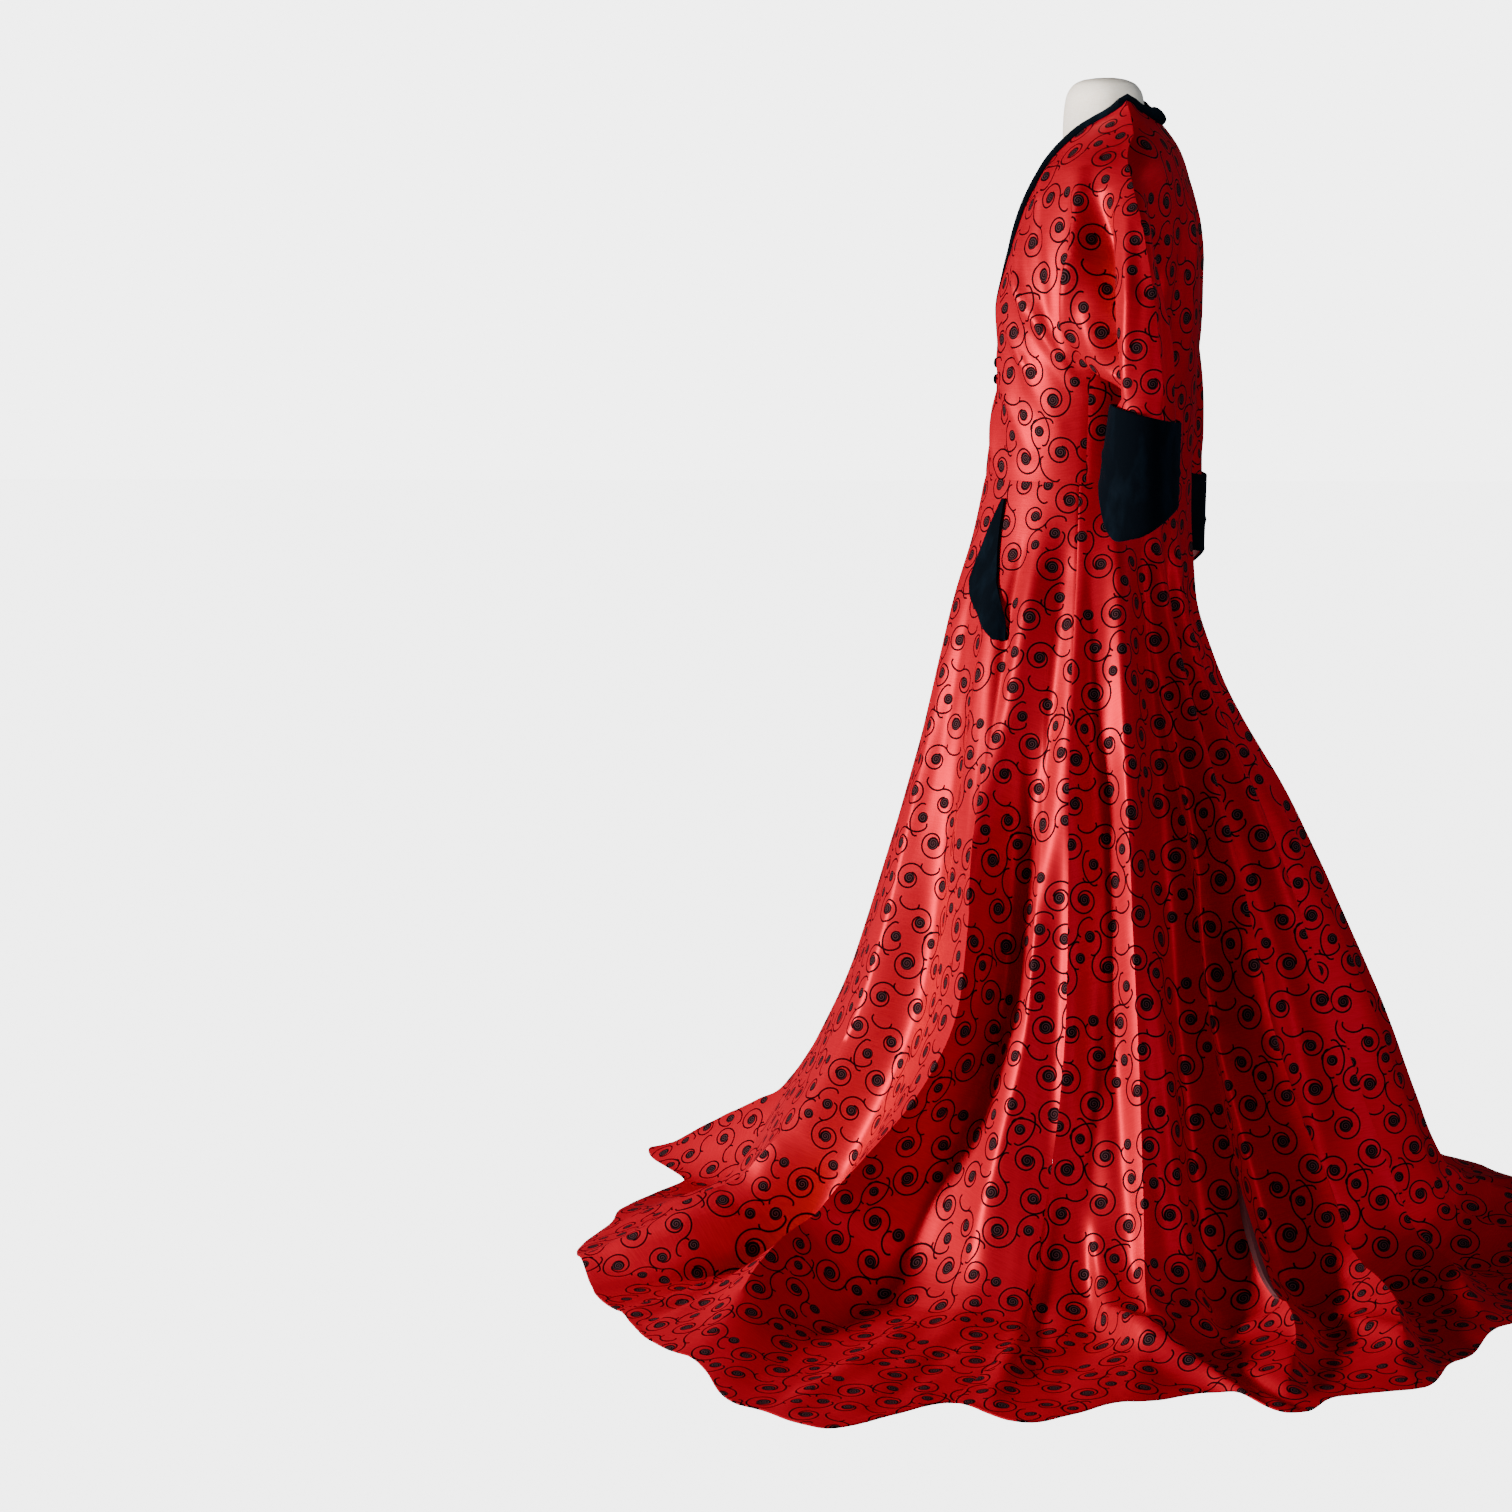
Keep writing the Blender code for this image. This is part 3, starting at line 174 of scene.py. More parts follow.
# Smaller creases of the skirt. from and to are measured down the cloth from the waist.
SKIRT_CREASES = [
    # name, from, to, from_direction, to_direction, width, height
    ("waist_tuck_front", -0.10, 0.34, 28.0, 24.0, 0.012, 0.0030),
    ("waist_valley_front", -0.08, 0.46, 37.0, 42.0, 0.010, -0.0035),
    ("pocket_ridge", 0.10, 0.56, 56.0, 60.0, 0.012, 0.0060),
    ("pocket_valley", 0.06, 0.44, 65.0, 67.0, 0.010, -0.0085),
    ("panel_ridge_front", 0.02, 0.46, 74.0, 71.5, 0.015, 0.0160),
    ("big_valley_high", 0.04, 0.60, 85.5, 79.5, 0.017, -0.0170),
    ("panel_fill", 0.40, 0.98, 80.5, 79.5, 0.024, 0.0120),
    ("seam_flatten", 0.36, 0.98, 89.5, 89.5, 0.018, -0.0170),
    ("panel_line", 0.44, 0.96, 86.5, 86.0, 0.007, -0.0022),
    ("side_ridge_high", -0.02, 0.46, 108.0, 106.0, 0.017, 0.0190),
    ("side_valley_low", 0.28, 0.86, 100.5, 102.5, 0.013, -0.0150),
    ("side_valley_high", 0.04, 0.40, 95.0, 96.5, 0.008, -0.0035),
    ("side_crest", 0.44, 0.96, 110.5, 112.0, 0.017, 0.0190),
    ("hip_valley_high", 0.02, 0.56, 119.5, 118.5, 0.012, -0.0130),
    ("hip_ridge_high", 0.04, 0.56, 128.0, 129.5, 0.014, 0.0260),
    ("shadow_valley", 0.44, 0.92, 120.5, 120.5, 0.030, -0.0230),
    ("deep_valley_high", 0.04, 0.52, 137.0, 138.0, 0.012, -0.0130),
    ("rear_line", 0.25, 0.85, 136.0, 137.5, 0.009, 0.0045),
    ("rear_ridge_high", 0.06, 0.50, 146.0, 148.0, 0.014, 0.0150),
    ("rear_soft_valley", 0.20, 0.80, 144.5, 145.0, 0.010, -0.0050),
    ("rear_edge_line", 0.22, 0.90, 156.0, 157.0, 0.009, 0.0050),
    ("back_left_ridge_high", 0.02, 0.50, 165.0, 166.0, 0.012, 0.0045),
    ("back_valley_high", 0.04, 0.55, 180.0, 180.5, 0.012, -0.0045),
    ("back_right_ridge_high", 0.02, 0.50, 194.0, 195.0, 0.012, 0.0045),
    ("far_rear_line", 0.20, 0.80, 208.0, 208.0, 0.010, -0.0040),
    ("far_rear_ridge_high", 0.04, 0.55, 219.0, 218.0, 0.012, 0.0055),
    ("far_back_line", 0.15, 0.80, 232.0, 232.0, 0.010, 0.0040),
    ("far_side_valley_high", 0.02, 0.50, 246.0, 246.0, 0.011, -0.0075),
    ("far_side_line", 0.20, 0.80, 254.0, 255.0, 0.009, 0.0035),
    ("far_seam_ridge", 0.00, 0.52, 264.0, 264.0, 0.011, 0.0065),
    ("far_hip_line", 0.15, 0.78, 277.0, 277.0, 0.010, -0.0050),
    ("far_hip_ridge_high", 0.04, 0.52, 289.0, 288.0, 0.012, 0.0065),
    ("far_pocket_valley", 0.06, 0.60, 300.0, 299.0, 0.011, -0.0075),
    ("far_front_ridge_high", 0.08, 0.60, 316.0, 315.0, 0.013, 0.0050),
    ("far_front_line", 0.10, 0.60, 332.0, 332.0, 0.012, -0.0035),
    ("front_soft_ridge", 0.20, 0.85, 6.0, 4.0, 0.016, 0.0035),
    # Ripples where the cloth meets the floor and lies on it
    ("sweep_ripple", 0.80, 1.18, 20.0, 18.0, 0.016, 0.0100),
    ("roll_crest", 0.78, 1.24, 34.5, 29.5, 0.022, 0.0200),
    ("roll_shadow", 0.78, 1.22, 40.5, 38.0, 0.013, -0.0200),
    ("roll_second", 0.84, 1.20, 46.0, 45.0, 0.016, 0.0140),
    ("ridge_ripple", 0.86, 1.18, 50.5, 51.0, 0.012, 0.0090),
    ("lit_fold", 0.76, 1.22, 96.0, 111.0, 0.015, 0.0220),
    ("lit_fold_shadow", 0.82, 1.20, 101.0, 115.5, 0.012, -0.0120),
    ("panel_ripple", 0.90, 1.19, 74.0, 73.0, 0.018, 0.0070),
    ("panel_ripple_low", 0.90, 1.18, 81.0, 80.0, 0.014, -0.0040),
    ("seam_ripple", 0.88, 1.18, 88.0, 88.0, 0.014, 0.0070),
    ("rear_ripple", 0.84, 1.17, 121.0, 118.0, 0.014, -0.0060),
    ("bright_ripple", 0.84, 1.18, 131.0, 130.0, 0.012, 0.0060),
    ("back_ripple", 0.84, 1.18, 158.0, 160.0, 0.016, 0.0070),
    ("far_back_ripple", 0.84, 1.18, 206.0, 206.0, 0.016, 0.0070),
    ("far_side_ripple", 0.84, 1.18, 244.0, 244.0, 0.016, 0.0070),
    ("far_front_ripple", 0.84, 1.18, 302.0, 302.0, 0.016, 0.0080),
    ("far_sweep_ripple", 0.84, 1.18, 334.0, 334.0, 0.016, 0.0070),
]

# Bodice rings: height, half width, y of the side, distance to the front and to the back
BODICE_LEVELS = [
    # z, half_width, side_y, front, back
    (WAIST_Z, 0.1370, 0.000, 0.1260, 0.1120),
    (0.915, 0.1380, 0.000, 0.1235, 0.1130),
    (0.950, 0.1430, 0.002, 0.1175, 0.1150),
    (0.990, 0.1500, 0.006, 0.1120, 0.1170),
    (V_END_Z, 0.1560, 0.012, 0.1110, 0.1190),
    (1.080, 0.1610, 0.017, 0.1120, 0.1200),
    (CHEST_Z, 0.1650, 0.030, 0.1010, 0.1200),
    (1.170, 0.1680, 0.042, 0.0890, 0.1170),
    (1.200, 0.1680, 0.053, 0.0785, 0.1120),
    (SHOULDER_TIP_Z, 0.1650, 0.063, 0.0600, 0.1045),
    (1.260, 0.1350, 0.061, 0.0440, 0.0965),
    (1.285, 0.0980, 0.054, 0.0200, 0.0800),
    (1.300, 0.0740, 0.048, -0.0050, 0.0650),
    (NECK_POINT_Z, NECK_HALF, 0.043, -0.0300, 0.0520),
]
# V neckline: half of its width at each height
V_NECK = [
    # z, half_width
    (V_END_Z, 0.0006),
    (1.090, 0.0190),
    (1.143, 0.0330),
    (1.200, 0.0450),
    (1.265, 0.0545),
    (NECK_POINT_Z, NECK_HALF),
]
# Armhole line, where the sleeve leaves the body: direction round the ring at each height
ARM_LINE = [
    # z, front_direction, back_direction
    (ARMPIT_Z, 94.0, 94.0),
    (1.040, 85.0, 105.0),
    (1.072, 77.0, 115.0),
    (CHEST_Z, 70.0, 122.0),
    (1.190, 72.0, 116.0),
    (SHOULDER_TIP_Z, 90.0, 90.0),
]
# Sleeves: the wearer's right one hangs a little lower and flatter
SLEEVES = [
    # side, name, drop, lean
    (1.0, "left", 0.000, 0.000),
    (-1.0, "right", 0.088, -0.012),
]
# Cuff: the middle of its top edge on the left sleeve, its oval, and how it tilts and flares
CUFF_CENTRE = (0.2220, 0.0830, 0.9740)
CUFF_HALF_DEPTH = 0.0330
CUFF_HALF_WIDTH = 0.0360
CUFF_TILT = 0.0100
CUFF_FORWARD = 0.0150
CUFF_TOP_FLARE = 0.0030
# A soft fold round the cuff, and the piping along its lower edge: height, share, width
CUFF_FOLD = (0.0016, 0.60, 0.030)
CUFF_PIPING = (0.0008, 0.955, 0.012)
# Share of the cuff's length over which its edges are rounded, and share of its wall there
CUFF_EDGE = 0.012
CUFF_ROUND = 0.38
# How the sleeve leaves the armhole: how far and which way it goes over and under the arm
SHOULDER_BULGE = 0.085
UNDERARM_BULGE = 0.020
MOST_BULGE_SHARE = 0.42
OVERARM_WAY = (0.80, 0.15, -0.55)
UNDERARM_WAY = (0.55, 0.0, -0.80)
END_LEAN = (0.002, 0.000)
# Where the overarm seam meets the cuff, from its front by way of its outside
OVERARM_TURN = 130.0
END_SHARE = 0.40
CUFF_BOTTOM = [
    # direction, drop
    (0.0, 0.088),
    (55.0, 0.143),
    (80.0, 0.136),
    (180.0, 0.094),
    (250.0, 0.092),
    (310.0, 0.088),
]
CUFF_ROWS = 26
# Crest of the seam along the top of the sleeve
OVERARM_CREST = 0.0065
OVERARM_WIDTH = 0.010
# How far from the armhole line the body and the sleeve run smoothly into each other
JOIN_REACH = 0.060
JOIN_ROUNDS = 60

# Creases of the bodice and sleeves, each along a line of points on or near the cloth
BODICE_CREASES = [
    # side, width, height, points
    (1, 0.0080, -0.0034, [(0.060, -0.105, 1.080), (0.105, -0.075, 1.015), (0.132, -0.030, 0.935)]),
    (1, 0.0070, 0.0062, [(0.070, -0.100, 1.100), (0.118, -0.062, 1.025), (0.139, -0.015, 0.945)]),
    (1, 0.0070, 0.0050, [(0.052, -0.108, 1.045), (0.095, -0.082, 0.980), (0.122, -0.050, 0.915)]),
    (1, 0.0070, -0.0032, [(0.080, -0.092, 1.130), (0.128, -0.050, 1.055), (0.146, -0.005, 0.985)]),
    (1, 0.0065, 0.0048, [(0.090, -0.090, 1.135), (0.136, -0.045, 1.070), (0.149, 0.000, 1.000)]),
    (1, 0.0070, -0.0030, [(0.040, -0.112, 1.000), (0.078, -0.095, 0.955), (0.100, -0.075, 0.905)]),
    (1, 0.0080, 0.0044, [(0.030, -0.112, 0.985), (0.060, -0.108, 0.940), (0.075, -0.100, 0.900)]),
    (1, 0.0090, 0.0056, [(0.085, -0.075, 1.185), (0.110, -0.070, 1.115), (0.125, -0.055, 1.060)]),
    (1, 0.0090, -0.0034, [(0.105, -0.050, 1.205), (0.135, -0.045, 1.125), (0.145, -0.035, 1.060)]),
    (1, 0.0080, 0.0040, [(0.075, -0.040, 1.260), (0.095, -0.045, 1.215), (0.110, -0.050, 1.160)]),
    (0, 0.0100, 0.0040, [(0.030, 0.112, 1.230), (0.050, 0.118, 1.120), (0.060, 0.112, 1.000)]),
    (0, 0.0100, -0.0030, [(0.070, 0.105, 1.190), (0.090, 0.105, 1.080), (0.085, 0.095, 0.970)]),
    (0, 0.0090, 0.0044, [(0.105, 0.090, 1.180), (0.120, 0.088, 1.080), (0.115, 0.070, 0.980)]),
    (0, 0.0080, -0.0028, [(0.115, 0.060, 0.990), (0.105, 0.070, 0.935), (0.095, 0.075, 0.900)]),
    (0, 0.0080, 0.0036, [(0.060, 0.108, 0.965), (0.065, 0.100, 0.925), (0.070, 0.094, 0.897)]),
    (-1, 0.0085, -0.0032, [(0.058, -0.105, 1.070), (0.100, -0.078, 1.000), (0.130, -0.030, 0.930)]),
    (-1, 0.0075, 0.0056, [(0.072, -0.098, 1.095), (0.116, -0.064, 1.015), (0.138, -0.022, 0.945)]),
    (-1, 0.0075, 0.0044, [(0.050, -0.108, 1.030), (0.090, -0.086, 0.965), (0.115, -0.056, 0.905)]),
    (-1, 0.0090, 0.0048, [(0.090, -0.072, 1.170), (0.114, -0.068, 1.100), (0.128, -0.052, 1.050)]),
    (-1, 0.0090, -0.0030, [(0.040, -0.112, 0.995), (0.070, -0.098, 0.950), (0.092, -0.080, 0.900)]),
]
# The drag creases of the body stand out this many times their listed height
DRAG_SHARE = 1.45
# The dress form lies close under the body, so no crease is deeper there
BODY_DEEPEST = -0.0032
# Creases settle to nothing at the waist seam, at the centre front and above the cuffs
BODICE_SETTLE = 0.012
CENTRE_PLAIN = 0.010
CENTRE_SETTLE = 0.025
CUFF_CLEAR = 0.006
CUFF_SETTLE = 0.02
CUFF_NEAR = 0.03
SLEEVE_CREASES = [
    # side, width, height, points
    (1, 0.0080, 0.0090, [(0.200, 0.062, 1.200), (0.241, 0.068, 1.097), (0.251, 0.067, 0.970)]),
    (1, 0.0190, -0.0400, [(0.178, 0.014, 1.215), (0.206, 0.030, 1.125), (0.230, 0.046, 0.950)]),
    (1, 0.0115, 0.0190, [(0.140, 0.004, 1.240), (0.184, 0.006, 1.140), (0.160, -0.010, 1.030)]),
    (1, 0.0090, -0.0050, [(0.205, 0.094, 1.180), (0.240, 0.102, 1.080), (0.250, 0.102, 0.980)]),
    (1, 0.0080, 0.0050, [(0.190, 0.095, 1.190), (0.226, 0.112, 1.090), (0.240, 0.112, 0.975)]),
    (1, 0.0080, -0.0060, [(0.170, 0.100, 1.160), (0.200, 0.118, 1.070), (0.216, 0.116, 0.975)]),
    (-1, 0.0090, 0.0080, [(0.196, 0.050, 1.190), (0.226, 0.056, 1.060), (0.242, 0.048, 0.890)]),
    (-1, 0.0100, -0.0090, [(0.180, 0.022, 1.180), (0.208, 0.030, 1.050), (0.218, 0.034, 0.900)]),
    (-1, 0.0080, 0.0050, [(0.190, 0.095, 1.180), (0.226, 0.106, 1.050), (0.240, 0.100, 0.890)]),
    (-1, 0.0080, -0.0060, [(0.170, 0.100, 1.150), (0.204, 0.112, 1.040), (0.216, 0.104, 0.890)]),
]

# Pocket flap: direction of its front and its back edge on the skirt at each height
FLAP_ROWS = [
    # z, front_edge, back_edge
    (0.8720, 48.8, 50.6),
    (0.8450, 43.8, 50.6),
    (0.8200, 40.0, 52.0),
    (0.7980, 38.0, 54.8),
    (0.7820, 38.0, 57.6),
    (0.7680, 40.8, 60.6),
    (0.7540, 46.2, 63.2),
    (0.7380, 54.0, 65.2),
    (0.7190, 62.4, 66.2),
]
FLAP_COLUMNS = 18
FLAP_STEPS = 5
FLAP_STAND = 0.0060
FLAP_EDGE = 0.0009

# Neck band: its size along the neck and at the nape, how far it rises over the cloth's edge,
# and how far it turns in under the edge
BAND_WIDTH = 0.0085
BAND_THICK = [
    # z, thickness
    (1.040, 0.0008),
    (1.100, 0.0012),
    (1.140, 0.0028),
    (1.180, 0.0052),
    (1.270, 0.0058),
    (NECK_POINT_Z, 0.0056),
]
BAND_RISE = 0.0018
BAND_LIFT = 0.0004
NAPE_WIDTH = 0.0130
NAPE_THICK = 0.0105
NAPE_RISE = 0.0110
NAPE_SPREAD = 0.030
BAND_END_TRIM = 0.14
BAND_SECTION_POINTS = 20
BAND_PATH_STEPS = 7
BAND_TURN_IN = 0.0020
BAND_UNDER = 0.0007
BAND_UNDER_SHARE = 0.7
BAND_FULLNESS = 0.55
BAND_UNEVEN = 0.10
BAND_UNEVEN_LENGTH = 0.02

# Buttons
BUTTON_RADIUS = 0.0060
BUTTON_HALF_THICK = 0.0032
BUTTON_X = -0.0030
BUTTON_Z = {"button_upper": 1.0210, "button_lower": 1.0020}
# Small gathers of the velvet round the button's edge: how many, how deep and how far up
GATHERS = 14
GATHER_DEPTH = 0.02
GATHER_TOP = 0.3

# Dress form
FORM_CLEAR = 0.0040
SHOULDER_CLEAR = 0.0025
FORM_LEVELS = [
    # z, half_width, side_y, front, back
    (0.672, 0.0900, 0.004, 0.0600, 0.0600),
    (0.676, 0.1280, 0.004, 0.0880, 0.0840),
    (0.690, 0.1440, 0.004, 0.1010, 0.0950),
    (0.740, 0.1580, 0.003, 0.1150, 0.1000),
    (0.790, 0.1500, 0.001, 0.1160, 0.0985),
    (0.830, 0.1350, 0.000, 0.1130, 0.0990),
]
FORM_HEIGHTS = [WAIST_Z, 0.930, 0.990, 1.040, 1.080, 1.130, 1.170, 1.200]
SHOULDER_HEIGHTS = [1.218, 1.235, 1.248, 1.262, 1.276, 1.288, 1.298]
NECK_LEVELS = [
    # z, half_width, side_y, front, back
    (1.200, 0.0480, 0.012, 0.0330, 0.0560),
    (1.280, 0.0500, 0.012, 0.0360, 0.0600),
    (1.296, 0.0500, 0.012, 0.0355, 0.0605),
    (1.303, 0.0495, 0.012, 0.0350, 0.0575),
    (1.322, 0.0480, 0.012, 0.0320, 0.0550),
    (1.334, 0.0420, 0.012, 0.0250, 0.0480),
    (1.3405, 0.0290, 0.012, 0.0130, 0.0350),
    (1.3425, 0.0120, 0.012, 0.0000, 0.0240),
]
FORM_SIDES = 96
SLOPE_STEP = 0.003


def smooth_rows(table, at):
    """Rows of a table read at the given places, on a smooth curve that never overshoots."""
    rows = np.array(sorted(table), float)
    x, y = rows[:, 0], rows[:, 1:]
    step = np.diff(x)[:, None]
    slope = np.diff(y, axis=0) / step
    tangent = np.zeros_like(y)
    tangent[0], tangent[-1] = slope[0], slope[-1]
    agree = slope[:-1] * slope[1:] > 0
    w1 = 2 * step[1:] + step[:-1]
    w2 = step[1:] + 2 * step[:-1]
    with np.errstate(divide="ignore", invalid="ignore"):
        mean = (w1 + w2) / (w1 / slope[:-1] + w2 / slope[1:])
    tangent[1:-1] = np.where(agree, mean, 0.0)
    at = np.clip(np.asarray(at, float), x[0], x[-1])
    i = np.clip(np.searchsorted(x, at) - 1, 0, len(x) - 2)
    h = (x[i + 1] - x[i])[..., None]
    t = (at[..., None] - x[i][..., None]) / h
    return (
        (2 * t**3 - 3 * t**2 + 1) * y[i]
        + (t**3 - 2 * t**2 + t) * h * tangent[i]
        + (3 * t**2 - 2 * t**3) * y[i + 1]
        + (t**3 - t**2) * h * tangent[i + 1]
    )


def ease(t):
    return t * t * (3.0 - 2.0 * t)


def finer(values, steps):
    """The values with further ones evenly between each two of them."""
    values = np.array(values, float)
    shares = np.arange(steps) / steps
    between = values[:-1, None] + np.diff(values)[:, None] * shares
    return np.append(between.ravel(), values[-1])


def unit(v):
    return v / np.linalg.norm(v)


# Skirt


def oval(direction, front, side, back):
    """Distance from the axis to an oval whose front and back reach differ."""
    cosine, sine = np.cos(direction), np.sin(direction)
    ahead = np.where(cosine > 0, front, back)
    return 1.0 / np.sqrt((sine / side) ** 2 + (cosine / ahead) ** 2)


def around(values, turn=0.0, crested=False):
    """A value of each fold line spread over all the columns between the lines.

    turn is added once round; crested values come to an edge at their high lines.
    """
    values = np.array(values, float)
    following = np.roll(values, -1)
    following[-1] += turn
    shares = np.arange(LINE_STEPS) / LINE_STEPS
    if turn:
        return (values[:, None] + (following - values)[:, None] * shares).ravel()
    rising = falling = ease(shares)
    if crested:
        rising = (1 - CREST) * ease(shares) + CREST * shares**1.7
        falling = 1 - (1 - CREST) * ease(1 - shares) - CREST * (1 - shares) ** 1.7
    way = np.where((following > values)[:, None], rising, falling)
    return (values[:, None] + (following - values)[:, None] * way).ravel()


def skirt_points():
    """Grid of points of the skirt's outer face, and how far down the cloth each row lies."""
    columns = list(zip(*[line[1:] for line in FOLD_LINES]))
    waist, knee, floor, hem = [around(column, 360.0) for column in columns[:4]]
    depth, roll = [around(column, crested=True) for column in columns[4:6]]
    reach = around(columns[6])
    lean = around([RIDGE_LEAN.get(line[0], 0.0) for line in FOLD_LINES], crested=True)
    rows, down = [], []
    for z in finer([level[0] for level in SKIRT_LEVELS], LEVEL_STEPS):
        front, side, back, fold, roll_share = smooth_rows(SKIRT_LEVELS, z)
        if z >= KNEE_Z:
            turn = waist + (knee - waist) * ease((WAIST_Z - z) / (WAIST_Z - KNEE_Z))
        else:
            share = min(1.0, (KNEE_Z - z) / (KNEE_Z - TURNED_Z))
            turn = knee + (floor - knee) * ease(share)
        direction = np.radians(turn)
        radius = oval(direction, front, side, back) + fold * depth
        direction = direction + lean * fold**2 * (1 - 0.6 * roll_share) / radius
        rows.append((direction, radius, max(z, WALL) + roll_share * roll))
        down.append(WAIST_Z - z)
    start, first, _ = rows[-1]
    last_z = SKIRT_LEVELS[-1][0]
    for share in finer([row[0] for row in FLOOR_ROWS], FLOOR_STEPS)[1:]:
        direction = start + (np.radians(hem) - start) * ease(share)
        radius = first + (reach - first) * share
        rise = max(0.0, 1.0 - share / FLOOR_ROWS[1][0]) * (last_z - WALL)
        rows.append((direction, radius, WALL + rise + smooth_rows(FLOOR_ROWS, share)[0] * roll))
        down.append(WAIST_Z + share * FLOOR_SPAN)
    grid = [np.stack([r * np.sin(a), -r * np.cos(a), z + 0 * a], -1) for a, r, z in rows]
    return np.array(grid), np.array(down)


def ring_normals(grid):
    """Outward normals of a grid whose rows are closed rings."""
    across = np.roll(grid, -1, axis=1) - np.roll(grid, 1, axis=1)
    total = np.cross(np.gradient(grid, axis=0), across)
    return total / np.linalg.norm(total, axis=2)[..., None]


def skirt_lift(grid, down):
    """How far each point of the skirt stands out because of the smaller creases."""
    direction = np.arctan2(grid[..., 0], -grid[..., 1])
    radius = np.hypot(grid[..., 0], grid[..., 1])
    lift = np.zeros(grid.shape[:2])
    for _, start, end, start_turn, end_turn, width, height in SKIRT_CREASES:
        t = np.clip((down - start) / (end - start), 0.0, 1.0)[:, None]
        middle = np.radians(start_turn + (end_turn - start_turn) * t)
        offset = (direction - middle + np.pi) % (2 * np.pi) - np.pi
        fade = np.sin(np.pi * t) ** CREASE_FADE
        lift += height * np.exp(-((offset * radius / width) ** 2)) * fade
    return lift


def cloth_waver(points, size, height, seed):
    """Small uneven hollows and swells of hanging cloth, longer than they are wide."""
    across, along = size
    return height * np.array(
        [noise.noise(Vector((x / across + seed, y / across, z / along))) for x, y, z in points]
    )


def fine_skirt():
    """The skirt's outer face with its creases, which stand up from the cloth on the floor."""
    grid, down = skirt_points()
    normals = ring_normals(grid)
    lift = skirt_lift(grid, down)
    waver = cloth_waver(grid.reshape(-1, 3), *SKIRT_WAVER).reshape(lift.shape)
    settle = np.clip(down / WAIST_SETTLE, 0.0, 1.0)[:, None]
    out = grid * np.array([1.0, 1.0, 0.0])
    out /= np.linalg.norm(out, axis=2)[..., None]
    lying = np.clip((down - FLOOR_STARTS) / FLOOR_TURN, 0.0, 1.0)[:, None, None]
    way = out + (normals - out) * lying
    way /= np.linalg.norm(way, axis=2)[..., None]
    grid = grid + way * ((lift + waver) * settle)[..., None]
    grid[..., 2] = np.maximum(grid[..., 2], WALL)
    return grid


# Bodice and sleeves


def ring_point(direction, z):
    """Point of the bodice's outer face, in a direction from the front, at a height."""
    half_width, side_y, front, back = smooth_rows(BODICE_LEVELS, z)
    sine, cosine = math.sin(direction), math.cos(direction)
    ahead = (side_y + front) if cosine > 0 else (back - side_y)
    return np.array([half_width * sine, side_y - ahead * cosine, z])


def direction_of(x, z):
    """Direction, from the front, of the ring point with this x."""
    half_width = smooth_rows(BODICE_LEVELS, z)[0]
    return math.asin(min(1.0, x / half_width))


BODY_STEPS = 5
UPPER_SHARES = finer([0.0, 0.045, 0.12, 0.24, 0.42, 0.62, 0.82, 1.0], BODY_STEPS)
LOWER_MARKS = [CHEST_Z, 1.085, V_END_Z, ARMPIT_Z + 0.011, ARMPIT_Z, 0.972, 0.930, WAIST_Z]
LOWER_HEIGHTS = finer(LOWER_MARKS, BODY_STEPS)[1:]
CENTRE_ROW = len(UPPER_SHARES) - 1 + 2 * BODY_STEPS
ARMPIT_ROW = len(UPPER_SHARES) - 1 + 4 * BODY_STEPS
SHOULDER_COLUMNS = 7 * BODY_STEPS
NECK_COLUMNS = 3 * BODY_STEPS
BACK_COLUMNS = NECK_COLUMNS + SHOULDER_COLUMNS


def shoulder_line(share):
    """Point of the shoulder seam, from the neck point (0) to the shoulder tip (1)."""
    z = NECK_POINT_Z + (SHOULDER_TIP_Z - NECK_POINT_Z) * share
    return ring_point(math.pi / 2, z)


def front_half():
    """Left front without its sleeve, a row from the neckline out, from the shoulder down."""
    shares = np.linspace(0, 1, SHOULDER_COLUMNS + 1)
    chest_half = smooth_rows(V_NECK, CHEST_Z)[0]
    chest_neck = direction_of(chest_half, CHEST_Z)
    chest_arm = math.radians(smooth_rows(ARM_LINE, CHEST_Z)[0])
    grid = []
    for down in UPPER_SHARES:
        row = []
        neck_z = NECK_POINT_Z + (CHEST_Z - NECK_POINT_Z) * down
        straight = NECK_HALF + (chest_half - NECK_HALF) * down
        bend = smooth_rows(V_NECK, neck_z)[0] - straight
        for share in shares:
            top = shoulder_line(share)
            low = ring_point(chest_neck + (chest_arm - chest_neck) * share, CHEST_Z)
            z = top[2] + (CHEST_Z - top[2]) * down
            x = top[0] + (low[0] - top[0]) * down + bend * (1 - share) ** 2
            row.append(ring_point(direction_of(x, z), z))
        grid.append(row)
    for z in LOWER_HEIGHTS:
        inner = direction_of(smooth_rows(V_NECK, z)[0], z) if z >= V_END_Z else 0.0
        outer = math.radians(smooth_rows(ARM_LINE, max(z, ARMPIT_Z))[0])
        grid.append([ring_point(inner + (outer - inner) * s, z) for s in shares])
    for row in grid[CENTRE_ROW:]:
        row[0][0] = 0.0
    return np.array(grid)


